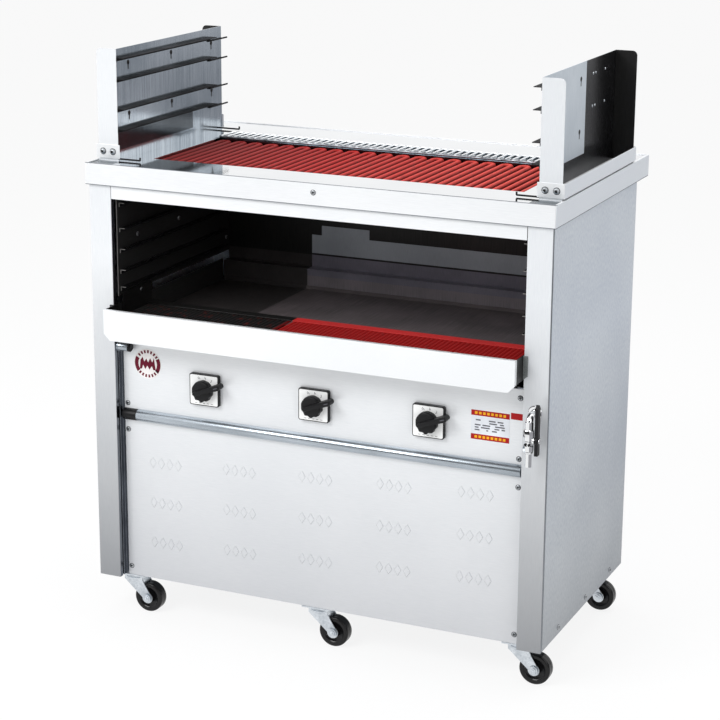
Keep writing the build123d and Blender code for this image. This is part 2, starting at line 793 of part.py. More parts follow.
# Frame of the lower heater: end plates hung from the cavity walls, two bars under the rods and a cover strip
# over their rear bends.
lower_bar_top = lower_heater_height - lower_rod_radius
cover_bottom = lower_heater_height + lower_rod_radius
with BuildPart() as lower_heater_frame:
    plate_depths = (lower_plate_front, lower_plate_rear)
    hanger_depths = (rack_rail_front, lower_plate_rear)
    for side in (-1, 1):
        block(span(side, lower_heater_half_width, lower_heater_half_width + sheet), plate_depths,
              (lower_plate_bottom, lower_heater_height + lower_plate_rise))
        block(span(side, lower_heater_half_width, lower_heater_half_width + sheet), hanger_depths,
              (lower_plate_bottom, lower_plate_top))
        block(span(side, lower_heater_half_width, liner_inner), hanger_depths,
              (lower_plate_top - sheet, lower_plate_top))
    for depth in (lower_front_bend + lower_bar_inset, lower_rear_bend - lower_bar_inset):
        block((-lower_heater_half_width, lower_heater_half_width),
              (depth - lower_bar_width / 2, depth + lower_bar_width / 2), (lower_plate_bottom, lower_bar_top))
    block((-lower_heater_half_width, lower_heater_half_width),
          (lower_plate_rear - lower_cover_depth, lower_plate_rear), (cover_bottom, cover_bottom + sheet))
save(lower_heater_frame, "lower_heater_frame")

# Terminal box on the back panel and the cable gland outside it.
box_width, box_depth, box_height = terminal_box_size
box_rear = cabinet_depth - sheet
with BuildPart() as terminal_box:
    for inset in (0, sheet):
        block((box_x - box_width / 2 + inset, box_x + box_width / 2 - inset),
              (box_rear - box_depth + inset, box_rear + inset),
              (box_z - box_height / 2 + inset, box_z + box_height / 2 - inset),
              Mode.SUBTRACT if inset else Mode.ADD)
save(terminal_box, "terminal_box")

with BuildPart() as cable_gland:
    with BuildSketch(front_plane(cabinet_depth)):
        with Locations((box_x, box_z)):
            RegularPolygon(gland_radius, 6)
    extrude(amount=-gland_length / 2)
    rod_y(box_x, (cabinet_depth, cabinet_depth + gland_length), box_z, gland_tube_radius)
    rod_y(box_x, (cabinet_depth - 1, cabinet_depth + gland_length + 1), box_z, gland_bore_radius,
          Mode.SUBTRACT)
save(cable_gland, "cable_gland")

# Rotary switches: body behind the panel, dark bezel, dial plate and turning knob.
with BuildPart() as switch_bodies:
    for x in switch_positions:
        body_half = switch_body_size / 2
        block((x - body_half, x + body_half), (panel_back, panel_back + switch_body_depth),
              (switch_height - body_half, switch_height + body_half))
        rod_y(x, (panel_back - 1, dial_front + shaft_length), switch_height, shaft_radius + running_clearance,
              Mode.SUBTRACT)
save(switch_bodies, "switch_bodies")

with BuildPart() as switch_bezels:
    with BuildSketch(front_plane(panel_recess)):
        with Locations(*[(x, switch_height) for x in switch_positions]):
            RectangleRounded(bezel_size, bezel_size, bezel_corner)
            Circle(shaft_hole_radius, mode=Mode.SUBTRACT)
    extrude(amount=bezel_depth)
save(switch_bezels, "switch_bezels")

with BuildPart() as switch_dials:
    with BuildSketch(front_plane(panel_recess - bezel_depth)):
        with Locations(*[(x, switch_height) for x in switch_positions]):
            RectangleRounded(dial_size, dial_size, bezel_corner - 1)
            Circle(shaft_hole_radius, mode=Mode.SUBTRACT)
    extrude(amount=dial_thickness)
save(switch_dials, "switch_dials")

knob_back = dial_front - sliding_gap
for x, word in zip(switch_positions, ("left", "middle", "right")):
    with BuildPart() as knob:
        with BuildSketch(front_plane(knob_back)):
            with Locations((x, switch_height)):
                Circle(knob_radius)
                with PolarLocations(knob_radius - knob_lobe_inset, knob_lobes, start_angle=180 / knob_lobes):
                    Circle(knob_lobe_radius)
        extrude(amount=knob_base)
        with BuildSketch(front_plane(knob_back)):
            with Locations(Location((x, switch_height), knob_tilt)):
                SlotOverall(2 * knob_radius, knob_handle_width)
                with Locations((knob_handle_length / 2, 0)):
                    RectangleRounded(knob_handle_length, knob_handle_width, knob_handle_rounding)
        extrude(amount=knob_depth)
        chamfer(knob.faces().sort_by(Axis.Y)[0].edges(), knob_chamfer)
        rod_y(x, (knob_back, knob_back + shaft_length - shaft_end_gap), switch_height, shaft_radius)
    save(knob, f"knob_{word}")


def thin_label(name, centre, make_shape):
    """A blank sticker on the control panel."""
    with BuildPart() as label:
        with BuildSketch(front_plane(panel_recess)):
            with Locations(centre):
                make_shape()
        extrude(amount=label_thickness)
    save(label, name)


# Blank labels.
thin_label("rating_label", rating_label_centre, lambda: Rectangle(*rating_label_size))
thin_label("round_label", round_label_centre, lambda: Circle(round_label_radius))
thin_label("flag_label", flag_label_centre, lambda: Rectangle(*flag_label_size))


def screw_heads(places, plane):
    """Low round heads at places on a plane that faces outward."""
    with Locations(*[plane.location * Location(place) for place in places]):
        Cylinder(screw_radius, screw_head, align=(Align.CENTER, Align.CENTER, Align.MIN))


# Screws of the front panels, the pan's front, the sides, the cavity walls and the lower heater's hangers.
panel_screw_x = panel_half - panel_screw_inset
panel_screw_levels = (cabinet_bottom + panel_screw_rise, lower_panel_top - panel_screw_drop,
                      trim_top + trim_screw_rise)
with BuildPart() as panel_screws:
    screw_heads([(side * panel_screw_x, z, 0) for side in (-1, 1) for z in panel_screw_levels]
                + [(panel_screw_x, control_panel_top - top_screw_drop, 0)], front_plane(panel_recess))
    screw_heads([(pan_screw_place, pan_top - pan_screw_drop, 0)], front_plane(-pan_front_overhang))
    for side in (-1, 1):
        side_plane = Plane((side * half_width, front_y, cabinet_bottom), x_dir=(0, 1, 0), z_dir=(side, 0, 0))
        screw_heads([(depth, side * side_screw_height, 0) for depth in side_screw_depths], side_plane)
        wall_plane = Plane((side * liner_inner, front_y, tray_front_top), x_dir=(0, 1, 0),
                           z_dir=(-side, 0, 0))
        screw_heads([(depth, -side * rise, 0) for depth, rise in wall_screw_places], wall_plane)
        hanger_plane = Plane((side * lower_heater_half_width, front_y, lower_plate_top), x_dir=(0, 1, 0),
                             z_dir=(-side, 0, 0))
        screw_heads([(hanger_screw_depth, side * hanger_screw_drop, 0)], hanger_plane)
save(panel_screws, "panel_screws")

# Uprights: channels that open outward, with keyholes in their webs.
upright_middle = (upright_front + upright_rear) / 2
keyhole_depths = (upright_middle - keyhole_pitch, upright_middle, upright_middle + keyhole_pitch)
for side, word in ((-1, "left"), (1, "right")):
    web = span(side, upright_inner, upright_inner + sheet)
    levels = (deck_top, upright_top)
    with BuildPart() as upright:
        block(web, (upright_front, upright_rear), levels)
        with BuildSketch(front_plane(upright_front + sheet)):
            with Locations((side * (upright_inner + upright_outer) / 2, (deck_top + upright_top) / 2)):
                Rectangle(upright_flange, upright_top - deck_top)
        extrude(amount=sheet)
        with BuildSketch(front_plane(upright_rear)):
            with Locations((side * (upright_inner + upright_outer) / 2, (deck_top + upright_top) / 2)):
                Rectangle(upright_flange, upright_top - deck_top)
        extrude(amount=sheet)
        top_edges = upright.edges().filter_by(Axis.Y).group_by(Axis.Z)[-1]
        fillet(top_edges.group_by(Axis.X)[-1 if side > 0 else 0], upright_corner)
        for depth in keyhole_depths:
            for rise in keyhole_rises:
                height = pan_top + rise
                cut = (web[0] - sheet, web[1] + sheet)
                rod_x(cut, depth, height, keyhole_radius, Mode.SUBTRACT)
                block(cut, (depth - keyhole_slot_radius, depth + keyhole_slot_radius),
                      (height - keyhole_radius - keyhole_slot, height), Mode.SUBTRACT)
    save(upright, f"upright_{word}")

# Rack ledges on the uprights, each with a thin wire behind it, and wire stops for the skewers.
ledge_rear = upright_rear - ledge_behind
ledge_depths = (upright_front, ledge_rear)
wire_depths = (ledge_rear - ledge_wire_lap, ledge_rear + ledge_wire_length)
stop_level = pan_top + skewer_stop_lift
with BuildPart() as rack_ledges:
    for side in (-1, 1):
        for rise in ledge_rises:
            height = pan_top + rise
            block(span(side, upright_inner - ledge_width, upright_inner), ledge_depths,
                  (height - sheet, height))
            block(span(side, upright_inner - sheet, upright_inner), ledge_depths,
                  (height - ledge_leg, height - sheet))
            rod_y(side * (upright_inner - ledge_wire_radius), wire_depths,
                  height - ledge_leg - ledge_wire_radius, ledge_wire_radius)
        stop_end = upright_inner - skewer_stop_length
        for depth in (upright_front + skewer_stop_inset, upright_rear - skewer_stop_inset):
            rod_x(span(side, stop_end, upright_inner), depth, stop_level, ledge_wire_radius)
            rod_z(side * stop_end, depth, (stop_level, stop_level + skewer_stop_tip), ledge_wire_radius)
save(rack_ledges, "rack_ledges")

# Foot rails that wrap the uprights' feet.
rail_inner = upright_inner - foot_rail_overlap
rail_outer = upright_outer + 2 * sheet + foot_rail_gap
rail_levels = (pan_top + foot_rail_lift, pan_top + foot_rail_lift + foot_rail_height)
with BuildPart() as foot_rails:
    for side in (-1, 1):
        block(span(side, rail_inner, rail_outer), (upright_front - sheet, upright_front), rail_levels)
        block(span(side, rail_inner, rail_outer), (upright_rear, upright_rear + sheet), rail_levels)
        block(span(side, rail_outer - sheet, rail_outer), (upright_front - sheet, upright_rear + sheet),
              rail_levels)
        block(span(side, upright_inner + sheet, rail_outer), (upright_front + sheet, upright_rear - sheet),
              (rail_levels[0], rail_levels[0] + sheet))
save(foot_rails, "foot_rails")

bolt_middle = (rail_inner + rail_outer) / 2
bolt_level = sum(rail_levels) / 2
with BuildPart() as foot_bolts:
    for side in (-1, 1):
        for offset in (-foot_bolt_spacing / 2, foot_bolt_spacing / 2):
            x = side * (bolt_middle + offset)
            for face, outward in ((upright_front - sheet, -1), (upright_rear + sheet, 1)):
                ends = (face, face + outward * foot_bolt_head)
                rod_y(x, (min(ends), max(ends)), bolt_level, foot_bolt_radius)
save(foot_bolts, "foot_bolts")

# Casters: plates on the base, then a swivelling fork and a wheel for each.
caster_places = [(x, depth) for depth in caster_rows for x in caster_columns]
plate_bottom = cabinet_bottom - caster_plate_thickness
with BuildPart() as caster_plates:
    for x, depth in caster_places:
        half_plate = caster_plate_size / 2
        block((x - half_plate, x + half_plate), (depth - half_plate, depth + half_plate),
              (plate_bottom, cabinet_bottom))
        rod_z(x, depth, (fork_top + sliding_gap, plate_bottom), caster_race_radius - caster_race_step)
        rod_z(x, depth, (fork_top - fork_sheet - kingpin_tip, plate_bottom), kingpin_radius)
save(caster_plates, "caster_plates")

leg_inner = wheel_width / 2 + wheel_side_gap
for (x, depth), word in zip(caster_places, ("front_left", "front_middle", "front_right",
                                            "rear_left", "rear_middle", "rear_right")):
    axle_x = x + wheel_offset
    with BuildPart() as fork:
        rod_z(x, depth, (fork_top - fork_sheet, fork_top), caster_race_radius)
        block((x - caster_race_radius, x + caster_race_radius), (depth - leg_inner - fork_sheet,
              depth + leg_inner + fork_sheet), (fork_top - fork_sheet, fork_top))
        for start in (depth - leg_inner, depth + leg_inner + fork_sheet):
            with BuildSketch(front_plane(start)):
                with BuildLine():
                    Polyline(
                        (x - caster_race_radius, fork_top), (x + caster_race_radius, fork_top),
                        (x + caster_race_radius, fork_crown_height), (axle_x + fork_end_radius, wheel_radius),
                        (axle_x - fork_end_radius, wheel_radius), (x - caster_race_radius, fork_crown_height),
                        close=True,
                    )
                make_face()
                with Locations((axle_x, wheel_radius)):
                    Circle(fork_end_radius)
            extrude(amount=fork_sheet)
        leg_outer = leg_inner + fork_sheet
        nut_end = leg_outer + axle_nut_length
        rod_y(axle_x, (depth - nut_end, depth + nut_end), wheel_radius, axle_radius)
        for start, end in ((depth - nut_end, depth - leg_outer), (depth + leg_outer, depth + nut_end)):
            rod_y(axle_x, (start, end), wheel_radius, axle_radius + axle_nut_rise)
        rod_z(x, depth, (fork_top - 2 * fork_sheet, fork_top + fork_sheet),
              kingpin_radius + running_clearance, Mode.SUBTRACT)
    save(fork, f"caster_fork_{word}")
    with BuildPart() as wheel:
        rod_y(axle_x, (depth - wheel_width / 2, depth + wheel_width / 2), wheel_radius, wheel_radius)
        fillet(wheel.edges().filter_by(GeomType.CIRCLE), wheel_rounding)
        rod_y(axle_x, (depth - wheel_width / 2 - hub_rise, depth + wheel_width / 2 + hub_rise), wheel_radius,
              hub_radius)
        rod_y(axle_x, (depth - wheel_width, depth + wheel_width), wheel_radius,
              axle_radius + running_clearance, Mode.SUBTRACT)
    save(wheel, f"caster_wheel_{word}")
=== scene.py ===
import math
import bmesh
import bpy
from mathutils import Matrix, Vector


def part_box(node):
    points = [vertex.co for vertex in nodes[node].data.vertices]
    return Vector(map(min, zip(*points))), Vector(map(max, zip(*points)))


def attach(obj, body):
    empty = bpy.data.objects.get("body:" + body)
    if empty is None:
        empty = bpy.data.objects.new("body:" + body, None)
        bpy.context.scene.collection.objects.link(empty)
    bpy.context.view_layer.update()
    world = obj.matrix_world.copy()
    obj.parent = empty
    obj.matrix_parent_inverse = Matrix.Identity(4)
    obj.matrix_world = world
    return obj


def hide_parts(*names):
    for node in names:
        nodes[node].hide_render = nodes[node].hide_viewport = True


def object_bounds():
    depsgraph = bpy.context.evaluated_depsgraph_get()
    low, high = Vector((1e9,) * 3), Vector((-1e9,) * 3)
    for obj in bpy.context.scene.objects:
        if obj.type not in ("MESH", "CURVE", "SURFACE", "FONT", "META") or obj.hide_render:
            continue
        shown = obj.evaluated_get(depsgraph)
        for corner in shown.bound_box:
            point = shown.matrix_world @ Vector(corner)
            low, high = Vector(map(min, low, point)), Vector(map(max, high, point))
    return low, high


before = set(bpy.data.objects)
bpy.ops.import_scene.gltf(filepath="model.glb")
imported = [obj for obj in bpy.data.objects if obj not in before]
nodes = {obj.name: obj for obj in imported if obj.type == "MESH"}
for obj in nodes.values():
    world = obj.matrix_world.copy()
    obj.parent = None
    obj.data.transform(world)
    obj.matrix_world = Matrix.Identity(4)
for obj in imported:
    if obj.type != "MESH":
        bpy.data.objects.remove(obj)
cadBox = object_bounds()
mm = 0.001
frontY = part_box("corner_post_left")[0].y  # the posts' front faces
casterPlaces = ("front_left", "front_middle", "front_right", "rear_left", "rear_middle", "rear_right")
print("frame loaded with", len(nodes), "nodes")


# Shader helpers

def newMaterial(name):
    made = bpy.data.materials.new(name)
    made.use_nodes = True
    return made, made.node_tree, made.node_tree.nodes["Principled BSDF"]


def objectPoint(tree, scale=(1, 1, 1)):
    coords = tree.nodes.new("ShaderNodeTexCoord")
    mapping = tree.nodes.new("ShaderNodeMapping")
    mapping.inputs["Scale"].default_value = scale
    tree.links.new(coords.outputs["Object"], mapping.inputs["Vector"])
    return mapping.outputs["Vector"]


def noise(tree, vector, scale, detail=3.0):
    node = tree.nodes.new("ShaderNodeTexNoise")
    node.inputs["Scale"].default_value = scale
    node.inputs["Detail"].default_value = detail
    tree.links.new(vector, node.inputs["Vector"])
    return node.outputs["Fac"]


def ramp(tree, source, stops):
    node = tree.nodes.new("ShaderNodeValToRGB")
    elements = node.color_ramp.elements
    while len(elements) < len(stops):
        elements.new(0.5)
    for element, (place, colour) in zip(elements, stops):
        element.position = place
        element.color = (*colour, 1)
    tree.links.new(source, node.inputs["Fac"])
    return node.outputs["Color"]


def spread(tree, source, start, end, low, high):
    node = tree.nodes.new("ShaderNodeMapRange")
    for key, value in (("From Min", start), ("From Max", end), ("To Min", low), ("To Max", high)):
        node.inputs[key].default_value = value
    tree.links.new(source, node.inputs["Value"])
    return node.outputs["Result"]


def feed(tree, socket, value):  # links another node's output, or sets a plain value
    if isinstance(value, bpy.types.NodeSocket):
        tree.links.new(value, socket)
    else:
        socket.default_value = value


def mixed(tree, first, second, share, mode="MIX"):
    node = tree.nodes.new("ShaderNodeMix")
    node.data_type = "RGBA"
    node.blend_type = mode
    for socket, value in ((node.inputs[0], share), (node.inputs[6], first), (node.inputs[7], second)):
        feed(tree, socket, value)
    return node.outputs[2]


def maths(tree, operation, first, second=0.0):
    node = tree.nodes.new("ShaderNodeMath")
    node.operation = operation
    feed(tree, node.inputs[0], first)
    feed(tree, node.inputs[1], second)
    return node.outputs["Value"]


def bump(tree, shader, height, strength, distance):
    node = tree.nodes.new("ShaderNodeBump")
    node.inputs["Strength"].default_value = strength
    node.inputs["Distance"].default_value = distance
    tree.links.new(height, node.inputs["Height"])
    tree.links.new(node.outputs["Normal"], shader.inputs["Normal"])


def axisPlace(tree, axis):
    coords = tree.nodes.new("ShaderNodeTexCoord")
    split = tree.nodes.new("ShaderNodeSeparateXYZ")
    tree.links.new(coords.outputs["Object"], split.inputs[0])
    return split.outputs[axis]


# Steel finishes, some with painted light or shade laid over them: shared values first, then what differs
# in each

steelShared = {
    "metallic": 0.15, "rough": (0.45, 0.6), "shine": 0.5,
    "grain": 900, "stretch": 0.04, "strength": 0.05, "cloud": 9.0,
}
# The foot values in these finishes paint shade that darkens the colour towards the floor
frontSteel = {
    "light": (0.86, 0.875, 0.89), "dark": (0.79, 0.81, 0.83), "metallic": 0.30, "rough": (0.34, 0.44),
    "grain": 1600, "stretch": 0.03, "cloud": 3.0, "foot": 0.68, "footShadeTop": 0.62,
}
sideSteel = {
    "light": (0.90, 0.955, 1.0), "dark": (0.70, 0.76, 0.84), "metallic": 0.6, "rough": (0.34, 0.46),
    "grain": 240, "stretch": 0.5, "strength": 0.22, "cloud": 2.2, "foot": 0.34, "footShadeTop": 0.68,
}
# Painted light: a brighter, bluer tone for the pan frame's right face, for the light falling on it from
# the side
paintedSideLight = {
    "light": (0.92, 0.96, 1.0), "dark": (0.84, 0.885, 0.94), "metallic": 0.4, "rough": (0.30, 0.40),
    "grain": 1600, "stretch": 0.03, "cloud": 3.5,
}
postSteel = {
    "light": (0.80, 0.82, 0.84), "dark": (0.72, 0.745, 0.775), "metallic": 0.35, "rough": (0.30, 0.40),
    "grain": 1600, "stretch": 0.03, "cloud": 3.5, "foot": 0.36, "footShadeTop": 0.80,
}
panSteel = {
    "light": (0.84, 0.855, 0.87), "dark": (0.77, 0.785, 0.805), "metallic": 0.35, "rough": (0.28, 0.38),
    "grain": 1600, "stretch": 0.03, "cloud": 3.5,
}
mirrorSteel = {
    "light": (0.86, 0.875, 0.89), "dark": (0.78, 0.80, 0.82), "metallic": 1.0, "rough": (0.04, 0.10),
    "grain": 1400, "stretch": 0.03, "strength": 0.01, "cloud": 5.0,
}
# Painted reflection: a darker, bluer mirror tone for the uprights' rack side
rackSideSteel = {
    "light": (0.62, 0.68, 0.74), "dark": (0.32, 0.37, 0.42), "metallic": 1.0, "rough": (0.10, 0.20),
    "grain": 420, "stretch": 0.02, "cloud": 6.0,
}
# Heat stain and painted shade together: near-black for the cavity, the tray's inside and the uprights'
# rear edges
stainAndShadeSteel = {
    "light": (0.022, 0.021, 0.021), "dark": (0.010, 0.010, 0.010), "metallic": 0.5, "rough": (0.30, 0.45),
    "strength": 0.04, "cloud": 4.5,
}
# Painted reflection: a red glowing strip that stands for the rods mirrored in the frame behind them
paintedRodReflection = {
    "light": (0.34, 0.010, 0.010), "dark": (0.27, 0.007, 0.007), "metallic": 0.0, "rough": (0.5, 0.6),
    "cloud": 8.0, "glow": 0.55,
}
# Painted reflections of the room in bands across the cavity's back, and dim painted shade below them and
# on the tray floor
reflectedLightBand = {"light": (0.36, 0.39, 0.43), "dark": (0.28, 0.305, 0.34), "rough": (0.4, 0.55), "grain": 1400}
reflectedBlueBand = {"light": (0.20, 0.19, 0.235), "dark": (0.135, 0.13, 0.165), "grain": 1400}
reflectedWarmBand = {"light": (0.24, 0.215, 0.235), "dark": (0.16, 0.145, 0.16), "grain": 700, "stretch": 0.03}
dimShadeBand = {"light": (0.042, 0.036, 0.036), "dark": (0.020, 0.018, 0.018), "grain": 1400}
# Painted reflection of the pale room on the right part of the tray floor
reflectedWarmFloor = {"light": (0.135, 0.115, 0.120), "dark": (0.085, 0.073, 0.077), "grain": 520, "stretch": 0.02}
# Painted reflection and shade: near-black for the right upright's outer face where it mirrors the dark
# room, and for the rack rails in the dark cavity
darkReflectionAndShade = {
    "light": (0.020, 0.020, 0.022), "dark": (0.007, 0.007, 0.008), "metallic": 0.6, "rough": (0.16, 0.30),
    "strength": 0.04, "cloud": 7.0,
}
# Painted shade on the mirror deck
deckShade = {
    "light": (0.13, 0.17, 0.20), "dark": (0.06, 0.085, 0.105), "metallic": 1.0, "rough": (0.10, 0.20),
    "grain": 1400, "stretch": 0.03,
}
railSteel = {
    "light": (0.50, 0.55, 0.60), "dark": (0.30, 0.335, 0.37), "metallic": 0.9, "rough": (0.20, 0.32),
    "stretch": 0.02, "strength": 0.03, "cloud": 5.0,
}
# Painted reflection: the pale front part of the right upright's outer face
paleWebReflection = {
    "light": (0.66, 0.72, 0.78), "dark": (0.54, 0.60, 0.66), "metallic": 0.25, "rough": (0.30, 0.42),
    "stretch": 0.03,
}
# Painted shade for thin lines in seams and along edges
seamShade = {
    "light": (0.20, 0.22, 0.25), "dark": (0.12, 0.135, 0.155), "metallic": 0.4, "rough": (0.35, 0.50),
    "stretch": 0.03,
}
webShade = {
    "light": (0.13, 0.15, 0.17), "dark": (0.05, 0.06, 0.07), "metallic": 0.9, "rough": (0.10, 0.20),
    "grain": 420, "stretch": 0.02,
}
screwSteel = {
    "light": (0.50, 0.52, 0.54), "dark": (0.30, 0.32, 0.34), "metallic": 0.9, "rough": (0.25, 0.40),
    "stretch": 1.0, "strength": 0.03, "cloud": 60.0,
}
# Painted shade: near-black matte for the cavity's left wall and the tray's left wing
shadeBlackSteel = {
    "light": (0.007, 0.007, 0.007), "dark": (0.004, 0.004, 0.004), "metallic": 0.0, "rough": (0.70, 0.85),
    "cloud": 7.0,
}
wingSteel = {
    "light": (0.26, 0.28, 0.28), "dark": (0.16, 0.18, 0.18), "metallic": 0.5, "rough": (0.25, 0.40),
    "grain": 1400,
}
# Painted highlight on the front edges of the cavity walls and the rack rails
edgeShine = {
    "light": (0.34, 0.33, 0.32), "dark": (0.20, 0.195, 0.19), "metallic": 0.3, "rough": (0.3, 0.4),
    "grain": 1400, "cloud": 5.0,
}
# Painted shade: the dark fold behind the corner posts' front face
shadedReturnSteel = {
    "light": (0.26, 0.28, 0.31), "dark": (0.13, 0.14, 0.16), "metallic": 1.0, "rough": (0.14, 0.26),
    "cloud": 8.0,
}
ledgeSteel = {
    "light": (0.018, 0.018, 0.020), "dark": (0.006, 0.006, 0.007), "metallic": 0.0, "rough": (0.50, 0.70),
    "shine": 0.08,
}
netEdge = {
    "light": (0.36, 0.38, 0.41), "dark": (0.14, 0.155, 0.175), "metallic": 0.7, "rough": (0.30, 0.45),
    "grain": 60, "stretch": 0.2, "cloud": 60.0,
}
wireSteel = {
    "light": (0.92, 0.94, 0.96), "dark": (0.78, 0.80, 0.83), "metallic": 0.7, "rough": (0.20, 0.34),
    "grain": 1400, "stretch": 0.05, "strength": 0.04, "cloud": 14.0,
}
zincPlate = {
    "light": (0.72, 0.76, 0.80), "dark": (0.52, 0.56, 0.60), "metallic": 0.95, "rough": (0.22, 0.42),
    "grain": 260, "stretch": 0.8, "strength": 0.14, "cloud": 30.0,
}
chromePlate = {
    "light": (0.86, 0.87, 0.88), "dark": (0.78, 0.79, 0.80), "metallic": 1.0, "rough": (0.03, 0.08),
    "stretch": 1.0, "strength": 0.01, "cloud": 18.0,
}


# How a finish is mixed: the start of the painted shade at the foot in metres, bumpDepth and zoneEdge in mm

steelBlend = {
    "cloudShare": 0.55, "darkAt": 0.38, "lightAt": 0.62, "roughFrom": 0.35, "roughTo": 0.65,
    "footShadeStart": 0.08, "bumpDepth": 0.3, "zoneEdge": 0.1,
}


def steelLayer(tree, look, grainAxis):  # colour, roughness and grain of one finish
    look = {**steelShared, **look}
    scale = [1, 1, 1]
    scale["XYZ".index(grainAxis)] = look["stretch"]
    grain = noise(tree, objectPoint(tree, scale), look["grain"], 2)
    cloud = noise(tree, objectPoint(tree), look["cloud"], 5)
    both = mixed(tree, grain, cloud, steelBlend["cloudShare"])
    stops = [(steelBlend["darkAt"], look["dark"]), (steelBlend["lightAt"], look["light"])]
    colour = ramp(tree, both, stops)
    if "foot" in look:  # painted shade: greyer towards the floor, where less light falls
        foot = look["foot"]
        height = spread(tree, axisPlace(tree, "Z"), steelBlend["footShadeStart"], look["footShadeTop"], 0, 1)
        shade = ramp(tree, height, [(0.0, (foot, foot, foot * 1.02)), (1.0, (1, 1, 1))])
        colour = mixed(tree, colour, shade, 1.0, "MULTIPLY")
    smooth, dull = look["rough"]
    rough = spread(tree, both, steelBlend["roughFrom"], steelBlend["roughTo"], dull, smooth)
    return colour, rough, grain


def inMetres(sizes):
    return {key: value * mm for key, value in sizes.items()}


def regionMask(tree, rules):  # 1 where every rule (axis, from, to) holds; None leaves that end open
    edge = steelBlend["zoneEdge"] * mm
    shares = []
    for axis, start, end in rules:
        if axis == "side":  # the distance from the appliance's middle, to the left or right
            value = maths(tree, "ABSOLUTE", axisPlace(tree, "X"))
        else:
            value = axisPlace(tree, axis)
        if start is not None:
            shares.append(spread(tree, value, start - edge, start + edge, 0, 1))
        if end is not None:
            shares.append(spread(tree, value, end - edge, end + edge, 1, 0))
    result = shares[0]
    for share in shares[1:]:
        result = maths(tree, "MULTIPLY", result, share)
    return result


def makeSteel(name, look, zones=(), grainAxis="X"):  # zones: (look, rules), each laid over the one before
    look = {**steelShared, **look}
    made, tree, shader = newMaterial(name)
    colour, rough, grain = steelLayer(tree, look, grainAxis)
    metallic = (look["metallic"],) * 3 + (1,)
    glow = (0, 0, 0, 1)
    for zoneLook, rules in zones:
        zoneLook = {**steelShared, **zoneLook}
        mask = regionMask(tree, rules)
        zoneColour, zoneRough = steelLayer(tree, zoneLook, grainAxis)[:2]
        colour = mixed(tree, colour, zoneColour, mask)
        rough = mixed(tree, rough, zoneRough, mask)
        metallic = mixed(tree, metallic, (zoneLook["metallic"],) * 3 + (1,), mask)
        if "glow" in zoneLook:
            glow = mixed(tree, glow, zoneColour, mask)
            tree.links.new(glow, shader.inputs["Emission Color"])
            shader.inputs["Emission Strength"].default_value = zoneLook["glow"]
    tree.links.new(colour, shader.inputs["Base Color"])
    tree.links.new(rough, shader.inputs["Roughness"])
    feed(tree, shader.inputs["Metallic"], metallic if zones else look["metallic"])
    shader.inputs["Specular IOR Level"].default_value = look["shine"]
    bump(tree, shader, grain, look["strength"], steelBlend["bumpDepth"] * mm)
    return made


# Plastics, inks and stickers

plasticBlend = {"patchScale": 20, "patchDark": 0.8, "roughSwing": 0.15, "bumpDepth": 0.1}


def makePlastic(name, colour, roughness, speckle=300, strength=0.02, coat=0.0, shine=0.5):
    made, tree, shader = newMaterial(name)
    grains = noise(tree, objectPoint(tree), speckle, 3)
    patches = noise(tree, objectPoint(tree), plasticBlend["patchScale"], 4)
    darker = tuple(plasticBlend["patchDark"] * c for c in colour)
    tree.links.new(ramp(tree, patches, [(0.35, darker), (0.65, colour)]), shader.inputs["Base Color"])
    swing = plasticBlend["roughSwing"] * roughness
    tree.links.new(spread(tree, patches, 0.3, 0.7, roughness - swing, roughness + swing),
                   shader.inputs["Roughness"])
    shader.inputs["Coat Weight"].default_value = coat
    shader.inputs["Specular IOR Level"].default_value = shine
    bump(tree, shader, grains, strength, plasticBlend["bumpDepth"] * mm)
    return made


# Heater sheaths: a dull red glow that changes along the object

upperGlow = {
    "left": (0.11, 0.005, 0.006), "middle": (0.37, 0.015, 0.013), "right": (0.60, 0.062, 0.048),
    "from": -0.45, "to": 0.40, "strength": 0.20, "shine": 0.12, "rodLow": 0.9745, "rodTop": 0.9808,
}
lowerGlow = {
    "left": (0.006, 0.006, 0.006), "middle": (0.19, 0.006, 0.006), "right": (0.22, 0.008, 0.008),
    "from": -0.110, "to": -0.098, "strength": 0.55, "shine": 0.2,
}
sheathLook = {
    "middleAt": 0.45, "rough": 0.55, "bumpStrength": 0.15, "bumpDepth": 0.2,
    "scaleSize": 60, "scaleColour": (0.10, 0.012, 0.010, 1), "scaleShare": 0.6,
    "rodSideShade": ((0.0, (0.10, 0.06, 0.06)), (0.5, (0.45, 0.38, 0.38)), (1.0, (1, 1, 1))),
}


def makeGlow(name, look):
    made, tree, shader = newMaterial(name)
    place = spread(tree, axisPlace(tree, "X"), look["from"], look["to"], 0, 1)
    along = ((0.0, look["left"]), (sheathLook["middleAt"], look["middle"]), (1.0, look["right"]))
    colour = ramp(tree, place, along)
    scale = noise(tree, objectPoint(tree), sheathLook["scaleSize"], 5)
    share = spread(tree, scale, 0.55, 0.80, 0, sheathLook["scaleShare"])
    mottled = mixed(tree, colour, sheathLook["scaleColour"], share)
    if "rodTop" in look:  # painted shade: darker down the rods' sides, lighter on their tops
        height = spread(tree, axisPlace(tree, "Z"), look["rodLow"], look["rodTop"], 0, 1)
        mottled = mixed(tree, mottled, ramp(tree, height, sheathLook["rodSideShade"]), 1.0, "MULTIPLY")
    tree.links.new(mottled, shader.inputs["Base Color"])
    tree.links.new(mottled, shader.inputs["Emission Color"])
    shader.inputs["Emission Strength"].default_value = look["strength"]
    shader.inputs["Roughness"].default_value = sheathLook["rough"]
    shader.inputs["Specular IOR Level"].default_value = look["shine"]
    bump(tree, shader, scale, sheathLook["bumpStrength"], sheathLook["bumpDepth"] * mm)
    return made


# Corner posts: painted shade on the fold behind the front face and a painted shade line down the outer
# edge; all zones in mm

postZones = {"front": 1.6, "foldWidth": 28.1, "seam": 1.2}


